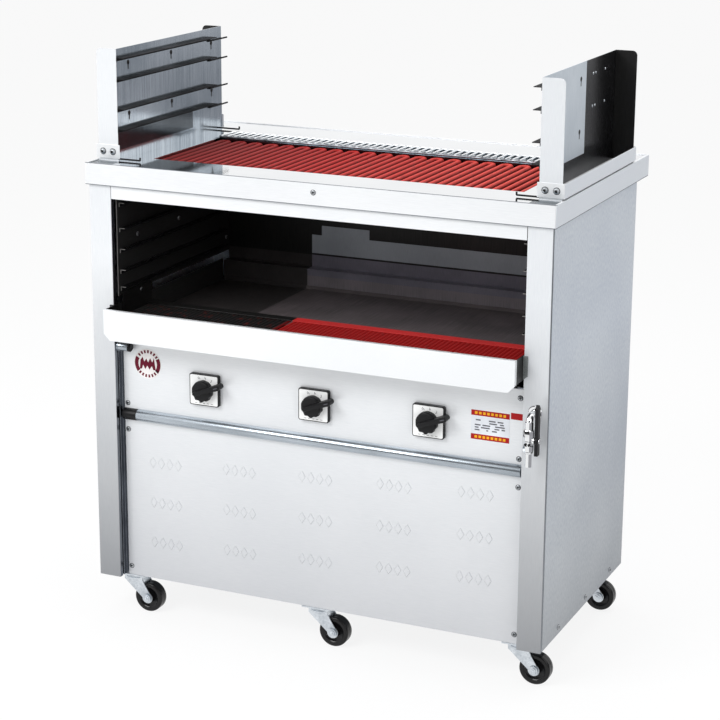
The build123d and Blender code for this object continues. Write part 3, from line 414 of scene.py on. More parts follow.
def makePostSteel():
    at = inMetres(postZones)
    low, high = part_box("corner_post_right")
    return makeSteel("steel_post", postSteel, [
        (shadedReturnSteel, [("side", None, low.x + at["foldWidth"]), ("Y", low.y + at["front"], None)]),
        (seamShade, [("X", high.x - at["seam"], None), ("Y", low.y + at["seam"], None)]),
    ], "Z")


# Pan frame: painted light on the right face and painted shade lines along the lower edge and the top's
# front edge

panZones = {"lip": 0.9, "lowerLine": 1.4, "upperLine": 0.4, "upperDepth": 6.0}


def makePanSteel():
    at = inMetres(panZones)
    low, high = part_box("pan_frame")
    return makeSteel("steel_pan", panSteel, [
        (paintedSideLight, [("X", high.x - at["lip"], None)]),
        (seamShade, [("Z", None, low.z + at["lowerLine"])]),
        (seamShade, [("Z", high.z - at["upperLine"], None), ("Y", None, low.y + at["upperDepth"])]),
    ])


# Drip tray: stained and in painted shade behind its front plate, with a painted reflection on the floor to
# the right, painted shade on the rest of the floor and the left wing, and a grey right wing

shineFrom = -236 * mm  # to the right of this the cavity carries painted reflections of the pale room, to the left painted shade
trayZones = {"plate": 9.6, "floorStart": 60, "floorHeight": 29, "floorSide": 14.5, "wing": 9.4}


def makeTraySteel():
    at = inMetres(trayZones)
    low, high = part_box("drip_tray")
    behindPlate = ("Y", low.y + at["plate"], None)
    well = ("Y", low.y + at["floorStart"], None)
    floor = ("Z", None, low.z + at["floorHeight"])
    floorSide = high.x - at["floorSide"]
    return makeSteel("steel_tray", frontSteel, [
        (stainAndShadeSteel, [behindPlate]),
        (dimShadeBand, [well, floor]),
        (reflectedWarmFloor, [well, floor, ("X", shineFrom, floorSide)]),
        (wingSteel, [("X", high.x - at["wing"], None), behindPlate]),
        (shadeBlackSteel, [("X", None, -floorSide), well]),
    ], "Y")


# Deck: a mirror, with painted shade round the net and in front of the uprights' feet

deckZones = {"netFront": 16, "netBack": 9, "netSide": 7, "footFront": 1.5, "footSide": 6.5}


def makeDeckSteel():
    at = inMetres(deckZones)
    netLow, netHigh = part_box("wire_net")
    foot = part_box("upright_right")[0]
    netPart = ("Y", netLow.y - at["netFront"], netHigh.y + at["netBack"])
    return makeSteel("steel_mirror", mirrorSteel, [
        (deckShade, [netPart, ("side", None, netHigh.x + at["netSide"])]),
        (deckShade, [("Y", None, foot.y - at["footFront"]), ("side", foot.x - at["footSide"], None)]),
    ])


# Uprights: painted reflections and painted shade on the rack side and the right outer face, from the lower
# front inner corner

uprightZones = {
    "skin": 0.8, "flange": 1.0, "edge": 2.4, "paleDepth": 259, "darkTop": 46.5, "shadeDepth": 317,
    "shadeFoot": 22.5, "shadeTop": 60.5,
}


def makeUprightSteel():
    at = inMetres(uprightZones)
    low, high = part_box("upright_right")
    webOuter = low.x + at["skin"]
    rackFront = low.y + at["skin"]
    webFront = low.y + at["flange"]
    webBack = high.y - at["flange"]
    paleBack = low.y + at["paleDepth"]
    rackSide = ("side", None, webOuter)
    outerSide = ("side", webOuter, None)
    rightWeb = ("X", webOuter, None)
    web = ("Y", webFront, webBack)
    shadeRows = ("Z", low.z + at["shadeFoot"], low.z + at["shadeTop"])
    return makeSteel("steel_upright", postSteel, [
        (rackSideSteel, [rackSide, ("Y", rackFront, None)]),
        (mirrorSteel, [outerSide, web]),
        (paleWebReflection, [rightWeb, ("Y", webFront, paleBack)]),
        (darkReflectionAndShade, [rightWeb, ("Y", paleBack, webBack)]),
        (darkReflectionAndShade, [rightWeb, web, ("Z", None, low.z + at["darkTop"])]),
        (webShade, [rackSide, ("Y", rackFront, low.y + at["shadeDepth"]), shadeRows]),
        (stainAndShadeSteel, [outerSide, ("Y", high.y - at["edge"], high.y - at["skin"])]),
    ], "Z")


# Grill cavity: painted shade on the left wall, painted highlights on the front edges and painted
# reflections of the room in bands across the back, with painted shade below them

cavityZones = {
    "wallEdge": 1.2, "railEdge": 1.5, "stepFace": 3, "stepTop": 52, "dimTop": 94,
    "paleFoot": 98, "paleTop": 140, "blockTop": 162, "blockLeft": -212, "blockRight": -96,
}


def frontEdge(name, width):  # the rule for the first mm behind a node's front
    return ("Y", None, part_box(name)[0].y + width * mm)


def makeBackSteel():
    at = inMetres(cavityZones)
    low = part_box("cavity_back")[0]
    shine = ("X", shineFrom, None)
    block = ("X", at["blockLeft"], at["blockRight"])
    paleFoot = low.z + at["paleFoot"]
    dim = ("Z", None, low.z + at["dimTop"])
    step = ("Z", None, low.z + at["stepTop"])
    stepFace = ("Y", None, low.y + at["stepFace"])
    return makeSteel("steel_back", stainAndShadeSteel, [
        (reflectedLightBand, [shine, ("Z", paleFoot, low.z + at["paleTop"])]),
        (reflectedLightBand, [block, ("Z", paleFoot, low.z + at["blockTop"])]),
        (dimShadeBand, [dim]),
        (reflectedBlueBand, [shine, dim]),
        (dimShadeBand, [stepFace, step]),
        (reflectedWarmBand, [stepFace, shine, step]),
    ], "Z")


# Lower heater's frame: a strip behind the glowing rods with a painted, glowing reflection of them

stripZones = {"below": 0.2, "above": 3, "side": 6, "depth": 27}
netZones = {"frontEdge": 5.2}


def makeHeaterFrameSteel():
    at = inMetres(stripZones)
    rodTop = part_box("lower_heater_rods")[1].z
    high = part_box("lower_heater_frame")[1]
    return makeSteel("steel_frame", stainAndShadeSteel, [
        (paintedRodReflection, [("Z", rodTop - at["below"], rodTop + at["above"]),
                    ("X", lowerGlow["to"], high.x - at["side"]),
                    ("Y", high.y - at["depth"], None)]),
    ], "Y")


steelFront = makeSteel("steel_front", frontSteel)
steelSide = makeSteel("steel_side", sideSteel, grainAxis="Z")
steelPost = makePostSteel()
steelPan = makePanSteel()
steelTray = makeTraySteel()
steelMirror = makeDeckSteel()
steelUpright = makeUprightSteel()
steelCavity = makeSteel("steel_cavity", stainAndShadeSteel)
steelWall = makeSteel("steel_wall", stainAndShadeSteel, [
    (shadeBlackSteel, [("X", None, 0)]),
    (edgeShine, [frontEdge("cavity_walls", cavityZones["wallEdge"])]),
], "Y")
steelBack = makeBackSteel()
steelRail = makeSteel("steel_rail", darkReflectionAndShade, [
    (edgeShine, [frontEdge("rack_rails", cavityZones["railEdge"])]),
], "Y")
steelFrame = makeHeaterFrameSteel()
steelLedge = makeSteel("steel_ledge", ledgeSteel, grainAxis="Y")
steelWire = makeSteel("steel_wire", wireSteel, [
    (netEdge, [frontEdge("wire_net", netZones["frontEdge"])]),
], "Y")
zinc = makeSteel("zinc", zincPlate)
chrome = makeSteel("chrome", chromePlate)
trimSteel = makeSteel("trim_steel", railSteel)
screwMetal = makeSteel("screw_metal", screwSteel)
blackPlastic = makePlastic("black_plastic", (0.008, 0.008, 0.009), 0.40, 700, 0.08, shine=0.22)
glossBlack = makePlastic("gloss_black", (0.006, 0.006, 0.0065), 0.20, coat=0.15, shine=0.22)
whitePlate = makePlastic("white_plate", (0.94, 0.945, 0.94), 0.45, speckle=400)
stickerPaper = makePlastic("sticker_paper", (0.78, 0.81, 0.86), 0.30)
roundPaper = makePlastic("round_paper", (0.88, 0.84, 0.83), 0.30)
redInk = makePlastic("red_ink", (0.40, 0.014, 0.016), 0.40, shine=0.1)
goldInk = makePlastic("gold_ink", (0.86, 0.42, 0.02), 0.40, shine=0.1)
greyInk = makePlastic("grey_ink", (0.12, 0.12, 0.14), 0.45, shine=0.1)
maroonInk = makePlastic("maroon_ink", (0.15, 0.012, 0.030), 0.40, shine=0.1)
glowUpper = makeGlow("glow_upper", upperGlow)
glowLower = makeGlow("glow_lower", lowerGlow)
print("materials made")


# Every carried-over node: its finish and how far its edges are rounded, in mm

nodeFinish = [
    (steelFront, 0, ("control_panel",)),
    (steelFront, 0.7, ("lower_panel", "header_strip")),
    (steelSide, 0.7, ("side_panel_left", "side_panel_right", "base_tray", "terminal_box")),
    (steelSide, 0, ("back_panel",)),
    (steelPost, 0.7, ("corner_post_left", "corner_post_right")),
    (steelPan, 0.7, ("pan_frame", "foot_rails")),
    (steelTray, 0.5, ("drip_tray",)),
    (steelMirror, 0.5, ("deck",)),
    (steelUpright, 0.5, ("upright_left", "upright_right")),
    (steelCavity, 0.4, ("cavity_ceiling", "water_pan", "tray_runners")),
    (steelWall, 0.4, ("cavity_walls",)),
    (steelBack, 0.4, ("cavity_back",)),
    (steelRail, 0.4, ("rack_rails",)),
    (steelFrame, 0.4, ("lower_heater_frame",)),
    (steelLedge, 0.4, ("rack_ledges", "upper_heater_bars")),
    (steelWire, 0, ("wire_net",)),
    (trimSteel, 0.5, ("trim_rail", "tray_stop")),
    (chrome, 0.5, ("drain_pipe",)),
    (zinc, 0.4, ("caster_plates",) + tuple("caster_fork_" + place for place in casterPlaces)),
    (blackPlastic, 0.5, ("switch_bezels", "switch_bodies", "cock_lever", "trim_end_cap", "tray_stop_cap",
                         "cable_gland")),
    (whitePlate, 0.2, ("switch_dials",)),
    (glowUpper, 0, ("upper_heater_rods",)),
    (glowLower, 0, ("lower_heater_rods",)),
    (stickerPaper, 0, ("rating_label",)),
    (roundPaper, 0, ("round_label",)),
    (redInk, 0, ("flag_label",)),
]


edgeLook = {"weld": 0.01, "segments": 2, "angle": 50}


def dress(name, material, rounding):
    node = nodes[name]
    node.data.materials.clear()
    node.data.materials.append(material)
    weld = node.modifiers.new("weld", "WELD")
    weld.merge_threshold = edgeLook["weld"] * mm
    if rounding:
        bevel = node.modifiers.new("bevel", "BEVEL")
        bevel.width = rounding * mm
        bevel.segments = edgeLook["segments"]
        bevel.limit_method = "ANGLE"
        bevel.angle_limit = math.radians(edgeLook["angle"])


for material, rounding, names in nodeFinish:
    for name in names:
        dress(name, material, rounding)
print("carried-over nodes dressed")


# Mesh helpers

def islands(name):  # the box of each separate solid of a node
    mesh = bmesh.new()
    mesh.from_mesh(nodes[name].data)
    bmesh.ops.remove_doubles(mesh, verts=mesh.verts, dist=0.005 * mm)
    left = set(mesh.verts)
    found = []
    while left:
        stack = [left.pop()]
        group = list(stack)
        while stack:
            for edge in stack.pop().link_edges:
                for vert in edge.verts:
                    if vert in left:
                        left.remove(vert)
                        group.append(vert)
                        stack.append(vert)
        low = Vector([min(vert.co[i] for vert in group) for i in range(3)])
        high = Vector([max(vert.co[i] for vert in group) for i in range(3)])
        found.append((low, high))
    mesh.free()
    return sorted(found, key=lambda box: tuple(round(c, 5) for c in box[0]))


def skin(mesh, rings, closed=False):  # joins the rings, caps open ends and returns the last cap
    pairs = list(zip(rings, rings[1:]))
    if closed:
        pairs.append((rings[-1], rings[0]))
    for first, second in pairs:
        for step in range(len(first)):
            after = (step + 1) % len(first)
            mesh.faces.new((first[step], first[after], second[after], second[step]))
    if closed:
        return None
    mesh.faces.new(list(reversed(rings[0])))
    return mesh.faces.new(rings[-1])


def lathe(mesh, profile, centre, axis, steps, closed=False):  # profile: (radius, place along axis) in mm
    turn = Vector(axis).to_track_quat("Z", "Y").to_matrix()
    rings = []
    for radius, place in profile:
        ring = []
        for step in range(steps):
            angle = 2 * math.pi * (step + 0.5) / steps
            spot = Vector((radius * math.cos(angle), radius * math.sin(angle), place)) * mm
            ring.append(mesh.verts.new(centre + turn @ spot))
        rings.append(ring)
    skin(mesh, rings, closed)


def slab(mesh, outline, place, depth, rounding=0):  # outline and depth in mm, placed by a matrix
    rings = [[mesh.verts.new(place @ (Vector((x, y, level)) * mm)) for x, y in outline]
             for level in (0, depth)]
    top = skin(mesh, rings)
    if rounding:
        bmesh.ops.bevel(mesh, geom=list(top.edges), offset=rounding * mm, segments=3, profile=0.6,
                        affect="EDGES")


def rectangle(width, height, x=0, y=0):
    return [(x - width / 2, y - height / 2), (x + width / 2, y - height / 2),
            (x + width / 2, y + height / 2), (x - width / 2, y + height / 2)]


def ringPiece(inner, outer, start, end, steps):  # an arc band in mm, angles in degrees
    angles = [math.radians(start + (end - start) * step / steps) for step in range(steps + 1)]
    outside = [(outer * math.cos(a), outer * math.sin(a)) for a in angles]
    inside = [(inner * math.cos(a), inner * math.sin(a)) for a in reversed(angles)]
    return outside + inside


def facing(x, y, z):  # a place on a front face: outline x to the right, y up, depth towards the viewer
    return Matrix.Translation((x, y, z)) @ Matrix.Rotation(math.radians(90), 4, "X")


def frontOf(low, high):  # the middle of a box's front face
    return facing((low.x + high.x) / 2, low.y, (low.z + high.z) / 2)


def newObject(name, data):
    made = bpy.data.objects.new(name, data)
    bpy.context.scene.collection.objects.link(made)
    return made


def meshObject(name, mesh, material):
    data = bpy.data.meshes.new(name)
    mesh.to_mesh(data)
    mesh.free()
    data.materials.append(material)
    return newObject(name, data)


def addPiece(name, mesh, material, body, replaced=(), smoothAngle=38):
    bmesh.ops.recalc_face_normals(mesh, faces=mesh.faces)
    piece = meshObject(name, mesh, material)
    piece.data.polygons.foreach_set("use_smooth", [True] * len(piece.data.polygons))
    piece.data.set_sharp_from_angle(angle=math.radians(smoothAngle))
    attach(piece, body)
    if replaced:
        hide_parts(*replaced)


# Caster wheels: a hard black tyre with a recessed side and a raised hub, sizes in mm

wheelLook = {
    "radius": 32.5, "halfWidth": 12.5, "tyre": 9, "dish": 3, "round": 4, "groove": 1.2,
    "hub": 11, "hubHalf": 13.5, "bore": 4.1, "spacer": 8.2,
}


def makeWheel(place):
    name = "caster_wheel_" + place
    low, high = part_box(name)
    middle = (low + high) / 2
    look = wheelLook
    edge, half, bend, dish = look["radius"], look["halfWidth"], look["round"], look["dish"]
    hub, hubHalf, bore = look["hub"], look["hubHalf"], look["bore"]
    rim = edge - look["tyre"]
    side = [(bore, hubHalf), (hub - 1, hubHalf), (hub, hubHalf - 1), (hub + 0.8, half - dish - 0.4),
            (rim - dish, half - dish), (rim - 0.6, half - 1), (rim, half - 0.4), (rim + 3.5, half),
            (edge - bend, half)]
    shoulder = [(edge - bend + bend * math.sin(a), half - bend + bend * math.cos(a))
                for a in (math.radians(15 * step) for step in range(1, 6))]
    tread = [(edge, half - bend - 1), (edge, look["groove"]), (edge - 0.5, look["groove"] / 2)]
    right = side + shoulder + tread
    left = [(radius, -along) for radius, along in reversed(right)]
    mesh = bmesh.new()
    lathe(mesh, right + left, middle, (0, 1, 0), 64, closed=True)
    addPiece("wheel_" + place, mesh, glossBlack, "wheel_" + place, (name,))
    spacer = look["spacer"]
    washer = [(spacer, hubHalf - 0.5), (spacer, hubHalf + 0.1), (spacer - 0.6, hubHalf + 0.5),
              (bore + 0.5, hubHalf + 0.5)]
    mesh = bmesh.new()
    for direction in (1, -1):
        lathe(mesh, washer, middle, (0, direction, 0), 40)
    addPiece("hub_washers_" + place, mesh, zinc, "wheel_" + place)


# Caster forks keep their solid; axle nuts, washers and the ball race show on it, sizes in mm

forkLook = {
    "legRim": 3, "nut": 7.4, "nutHeight": 4.2, "stud": 3.4, "studOut": 1.8, "washer": 9.6,
    "washerHeight": 1.1, "swivelPlace": 22, "race": 23.5, "raceWidth": 5, "raceDepth": 7.5,
}


def makeForkDetails(place):
    wheelLow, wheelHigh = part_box("caster_wheel_" + place)
    forkLow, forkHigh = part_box("caster_fork_" + place)
    look = forkLook
    axle = (wheelLow + wheelHigh) / 2
    half = (forkHigh.y - forkLow.y) / 2 / mm - look["legRim"]  # where the legs' outer faces are
    nutTop = half + look["nutHeight"]
    washerTop = half + look["washerHeight"]
    nut = [(look["nut"], half), (look["nut"], nutTop - 0.6), (look["nut"] - 0.8, nutTop)]
    stud = [(look["stud"], half + 3), (look["stud"], nutTop + 1),
            (look["stud"] - 0.8, nutTop + look["studOut"])]
    washer = [(look["washer"], half), (look["washer"], washerTop - 0.2), (look["washer"] - 0.6, washerTop)]
    mesh = bmesh.new()
    for direction in (1, -1):
        for outline, steps in ((nut, 6), (stud, 24), (washer, 40)):
            lathe(mesh, outline, axle, (0, direction, 0), steps)
    addPiece("axle_nuts_" + place, mesh, zinc, "fork_" + place, smoothAngle=30)
    swivel = Vector((forkLow.x + look["swivelPlace"] * mm, axle.y, forkHigh.z))
    edge, bore, deep = look["race"], look["race"] - look["raceWidth"], look["raceDepth"]
    race = [(edge - 3, -deep), (edge, 1.5 - deep), (edge, -3), (edge - 1.5, -1.5), (edge - 4, -0.6),
            (bore, -0.6), (bore, -deep)]
    mesh = bmesh.new()
    lathe(mesh, race, swivel, (0, 0, 1), 48, closed=True)
    addPiece("swivel_race_" + place, mesh, zinc, "fork_" + place)


for place in casterPlaces:
    makeWheel(place)
    makeForkDetails(place)
print("casters made")


# Screws and bolts, one at each solid of the CAD groups, sizes in mm

screwLook = {
    "radius": 4.8, "height": 2.2, "straight": 0.25, "slot": (6, 1.5), "slotTurn": 20, "slotSink": 0.25,
    "slotFill": 0.32, "gasket": 5.7, "gasketHeight": 0.25,
}
boltLook = {
    "radius": 6, "height": 4.5, "socket": 3.1, "socketFill": 0.2, "gasket": 7.0, "gasketHeight": 0.3,
}
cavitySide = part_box("cavity_walls")[1].x + 2 * mm


def fastenerPlaces(name):  # the seat of each solid of a group, and the way it faces
    middle = (cadBox[0] + cadBox[1]) / 2
    places = []
    for low, high in islands(name):
        size = high - low
        base = (low + high) / 2
        axis = min(range(3), key=lambda i: size[i])
        away = Vector((0, 0, 0))
        away[axis] = 1 if base[axis] > middle[axis] else -1
        if axis == 0 and abs(base.x) < cavitySide:  # screws inside the cavity face inward
            away = -away
        base[axis] = (low if away[axis] > 0 else high)[axis]
        places.append((base, away))
    return places


def makeScrews():
    look = screwLook
    radius, height, straight = look["radius"], look["height"], look["straight"]
    dome = [(radius, 0), (radius, height * straight)]
    dome += [(radius * math.cos(a), height * (straight + (1 - straight) * math.sin(a)))
             for a in (math.radians(18 * step) for step in range(1, 5))]
    heads, recesses = bmesh.new(), bmesh.new()
    for base, away in fastenerPlaces("panel_screws"):
        lathe(heads, dome, base, away, 32)
        turn = away.to_track_quat("Z", "Y").to_matrix().to_4x4()
        top = Matrix.Translation(base + away * (height - look["slotSink"]) * mm) @ turn
        for angle in (look["slotTurn"], look["slotTurn"] + 90):  # two thin dark bars fill the recess as painted shade for the cross slot
            slot = top @ Matrix.Rotation(math.radians(angle), 4, "Z")
            slab(recesses, rectangle(*look["slot"]), slot, look["slotFill"])
        lathe(recesses, [(look["gasket"], 0), (look["gasket"], look["gasketHeight"])], base, away, 32)
    addPiece("panel_screw_heads", heads, screwMetal, "cabinet", ("panel_screws",))
    addPiece("panel_screw_recesses", recesses, blackPlastic, "cabinet")


def makeFootBolts():
    look = boltLook
    radius, height, socket = look["radius"], look["height"], look["socket"]
    dome = [(radius, 0), (radius, 1.2), (radius - 0.4, 2.2), (radius - 1.4, height - 0.7),
            (radius - 2.4, height - 0.1), (socket + 0.3, height)]
    heads, recesses = bmesh.new(), bmesh.new()
    for base, away in fastenerPlaces("foot_bolts"):
        lathe(heads, dome, base, away, 32)
        # the dark hexagon is painted shade in the socket
        lathe(recesses, [(socket, height - look["socketFill"]), (socket, height + 0.05)], base, away, 6)
        lathe(recesses, [(look["gasket"], 0), (look["gasket"], look["gasketHeight"])], base, away, 32)
    addPiece("foot_bolt_heads", heads, screwMetal, "cabinet", ("foot_bolts",))
    addPiece("foot_bolt_sockets", recesses, blackPlastic, "cabinet")


makeScrews()
makeFootBolts()


# Uprights: dark discs of painted shade in the keyholes, and rivets, with levels from the floor and depths
# from the front in mm

keyholeLook = {
    "levels": (1077, 1181), "depths": (90.5, 269, 447.5), "round": 4.9, "slot": 1.7, "slotFoot": 13.9,
    "lip": 0.3, "sheet": 1.5,
    "rivetLevels": (1118, 1183), "rivetDepths": (346, 362, 424), "rivet": 2.6, "rivetHeight": 1.1,
}


def makeUprightDetails():
    look = keyholeLook
    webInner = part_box("upright_right")[0].x / mm
    webOuter = webInner + look["sheet"]
    length = look["sheet"] + 2 * look["lip"]
    rivet = [(look["rivet"], 0), (look["rivet"] - 0.3, look["rivetHeight"] - 0.4),
             (look["rivet"] - 1.4, look["rivetHeight"])]
    keyholeShade, rivets = bmesh.new(), bmesh.new()
    for side in (-1, 1):
        start = side * (webInner - look["lip"])
        nearest = min(start, start + side * length) * mm
        turned = Matrix(((0, 0, 1, nearest), (1, 0, 0, frontY), (0, 1, 0, 0), (0, 0, 0, 1)))
        for level in look["levels"]:
            for depth in look["depths"]:
                spot = Vector((start * mm, frontY + depth * mm, level * mm))
                lathe(keyholeShade, [(look["round"], 0), (look["round"], length)], spot, (side, 0, 0), 32)
                foot = level - look["slotFoot"]
                block = [(depth - look["slot"], foot), (depth + look["slot"], foot),
                         (depth + look["slot"], level), (depth - look["slot"], level)]
                slab(keyholeShade, block, turned, length)
        for level in look["rivetLevels"]:
            for depth in look["rivetDepths"]:
                spot = Vector((side * webOuter * mm, frontY + depth * mm, level * mm))
                lathe(rivets, rivet, spot, (side, 0, 0), 24)
    # the dark discs are painted shade in the keyholes
    addPiece("keyhole_shade", keyholeShade, blackPlastic, "cabinet")
    addPiece("upright_rivets", rivets, zinc, "cabinet")


makeUprightDetails()
print("fasteners made")


# Knobs: a scalloped skirt with a pointer handle across it, sizes in mm

knobLook = {
    "skirt": 22, "scallop": 1.5, "lobes": 10, "upperScallop": 0.15, "handleDepth": 22, "handleRound": 1.6,
    "skirtLevels": ((1.0, 0), (1.0, 10), (0.97, 12.4), (0.90, 13.7), (0.80, 14)), "tilt": 20, "tail": 17,
    "waist": 12, "tip": 48.8, "width": 9, "tipWidth": 12, "index": (9, 1.6), "indexFromTip": 4,
}


def makeKnob(side, centre):
    look = knobLook
    name = "knob_" + side
    steps = 96
    mesh = bmesh.new()
    place = facing(*centre)
    rings = []
    for share, depth in look["skirtLevels"]:
        ring = []
        for step in range(steps):
            angle = 2 * math.pi * step / steps
            wave = max(look["upperScallop"], -math.sin(angle)) * math.cos(look["lobes"] * angle + math.pi)
            radius = share * (look["skirt"] + look["scallop"] * wave)
            spot = Vector((radius * math.cos(angle), radius * math.sin(angle), depth)) * mm
            ring.append(mesh.verts.new(place @ spot))
        rings.append(ring)
    skin(mesh, rings)
    turned = place @ Matrix.Rotation(math.radians(look["tilt"]), 4, "Z")
    tip, tail = look["tip"], look["tail"]
    half, tipHalf = look["width"] / 2, look["tipWidth"] / 2
    below = [(5 - tail, -half), (look["waist"], -half), (tip - 5, -tipHalf), (tip - 1.5, 1.5 - tipHalf),
             (tip, 4 - tipHalf)]
    above = [(x, -y) for x, y in reversed(below)]
    end = [(1.5 - tail, half - 2), (-tail, 0), (1.5 - tail, 2 - half)]
    slab(mesh, below + above + end, turned, look["handleDepth"], look["handleRound"])
    addPiece(name + "_moulding", mesh, blackPlastic, name, (name,), 50)
    mesh = bmesh.new()
    length, width = look["index"]
    mark = turned @ Matrix.Translation(((tip - look["indexFromTip"] - length / 2) * mm, 0,
                                        (look["handleDepth"] - 0.1) * mm))
    slab(mesh, rectangle(length, width), mark, 0.3)
    addPiece(name + "_index", mesh, greyInk, name)


# Dial marks: ticks and plain digits for the switch steps and a row of plain dashes, sizes in mm

dialLook = {
    "ticks": (20, 50, 80, 110), "tickFrom": 24, "tickTo": 27.5, "tickWidth": 0.8, "print": 0.1,
    "digits": ((50, "2", 31.0), (80, "1", 28.935), (110, "0", 28.935)), "digitSize": 7, "digitPrint": 0.06,
    "digitShift": 2, "dashes": 5, "dashPitch": 9, "dashDrop": 28, "dash": (5, 0.9),
}


def digitMesh(mesh, text, place):
    curve = bpy.data.curves.new("digit_" + text, "FONT")
    curve.body = text
    curve.size = dialLook["digitSize"] * mm
    curve.align_x = "CENTER"
    curve.align_y = "CENTER"
    curve.extrude = dialLook["digitPrint"] * mm
    holder = newObject("digit_" + text, curve)
    bpy.context.view_layer.update()
    flat = bpy.data.meshes.new_from_object(holder.evaluated_get(bpy.context.evaluated_depsgraph_get()))
    flat.transform(place)
    mesh.from_mesh(flat)
    bpy.data.objects.remove(holder)
    bpy.data.curves.remove(curve)
    bpy.data.meshes.remove(flat)


def makeDialMarks(dials):
    look = dialLook
    length = look["tickTo"] - look["tickFrom"]
    tick = rectangle(length, look["tickWidth"], look["tickFrom"] + length / 2)
    mesh = bmesh.new()
    for low, high in dials:
        place = frontOf(low, high)
        for angle in look["ticks"]:
            slab(mesh, tick, place @ Matrix.Rotation(math.radians(angle), 4, "Z"), look["print"])
        for angle, digit, reach in look["digits"]:
            across = reach * math.cos(math.radians(angle)) - look["digitShift"]
            up = reach * math.sin(math.radians(angle)) - look["digitShift"]
            spot = Vector((across, up, look["digitPrint"])) * mm
            digitMesh(mesh, digit, place @ Matrix.Translation(spot))
        for column in range(look["dashes"]):
            across = (column - (look["dashes"] - 1) / 2) * look["dashPitch"]
            dash = place @ Matrix.Translation((across * mm, -look["dashDrop"] * mm, 0))
            slab(mesh, rectangle(*look["dash"]), dash, look["print"])
    addPiece("dial_marks", mesh, greyInk, "cabinet")


knobGap = 0.3 * mm
dialBoxes = islands("switch_dials")
for side, (low, high) in zip(("left", "middle", "right"), dialBoxes):
    centre = (low + high) / 2
    makeKnob(side, (centre.x, low.y - knobGap, centre.z))
makeDialMarks(dialBoxes)
print("switches made")


# Stickers: blank bands, ruled lines and a plain ring, with no lettering, sizes in mm

ratingLook = {
    "band": 11, "stripe": (5.4, 5.2), "stripes": 8, "stripePitch": 8.4, "lineWidth": 2.6, "print": 0.08,
    "stripePrint": 0.14,
    "rows": (
        (10.0, ((-25, 10), (4, 14), (21, 12))),
        (5.0, ((6, 16), (24, 8))),
        (0.0, ((-26, 12), (-8, 16), (20, 20))),
        (-5.0, ((-28, 8), (-10, 18), (14, 10), (27, 7))),
        (-10.0, ((-27, 10), (-6, 4), (9, 10))),
    ),
}
roundLook = {
    "ring": (22, 30.5), "arcs": ((-38, 66), (152, 66)), "print": 0.08,
    "dashStarts": (33, 223), "dashes": 7, "dashPitch": 16.6, "dashSweep": 9,
    "peaks": ((-19, -12), (-17, 7), (-12, 14), (-8, 4), (-3, 11), (1, 3), (6, 13), (11, 4), (15, 14),
              (19, -12), (13, -12), (10, -4), (4, -12), (-1, -4), (-6, -12), (-11, -3), (-14, -12)),
}


def makeRatingSticker():
    look = ratingLook
    low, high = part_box("rating_label")
    width = (high.x - low.x) / mm
    bandLevel = ((high.z - low.z) / mm - look["band"]) / 2
    place = frontOf(low, high)
    bands, stripes, lines = bmesh.new(), bmesh.new(), bmesh.new()
    for level in (bandLevel, -bandLevel):
        slab(bands, rectangle(width, look["band"], 0, level), place, look["print"])
        for step in range(look["stripes"]):
            across = (step - look["stripes"] / 2 + 0.5) * look["stripePitch"]
            slab(stripes, rectangle(*look["stripe"], across, level), place, look["stripePrint"])
    for level, dashes in look["rows"]:
        for middle, length in dashes:
            slab(lines, rectangle(length, look["lineWidth"], middle, level), place, look["print"])
    addPiece("rating_bands", bands, redInk, "cabinet")
    addPiece("rating_stripes", stripes, goldInk, "cabinet")
    addPiece("rating_lines", lines, greyInk, "cabinet")


def makeRoundSticker():
    look = roundLook
    low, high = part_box("round_label")
    place = frontOf(low, high)
    inner, outer = look["ring"]
    mesh = bmesh.new()
    for start, sweep in look["arcs"]:
        slab(mesh, ringPiece(inner, outer, start, start + sweep, 24), place, look["print"])
    for first in look["dashStarts"]:
        for step in range(look["dashes"]):
            start = first + look["dashPitch"] * step
            dash = ringPiece(inner + 1, outer - 1, start, start + look["dashSweep"], 4)
            slab(mesh, dash, place, look["print"])
    slab(mesh, look["peaks"], place, look["print"])
    addPiece("round_label_print", mesh, maroonInk, "cabinet")


makeRatingSticker()
makeRoundSticker()
print("stickers made")


# Drain cock: spout, hexagons, a turned body and the cover ring on the post, sizes in mm

cockLook = {
    "offset": 475, "standoff": 32, "bore": 4.5, "spout": 6.5, "spoutLength": 31, "body": 11,
    "bodyLength": 45, "neck": 8.5, "pipeAbove": 23, "pivotBelow": 45, "hub": 7, "pin": 3, "nut": 5,
    "leverGap": 0.3, "leverWidth": 7.9, "ring": 14, "ringBore": 7.8, "ringHeight": 3, "holeShade": 2.6,
    "holeShadeAcross": 3.6, "holeShadeHeight": 16,
}


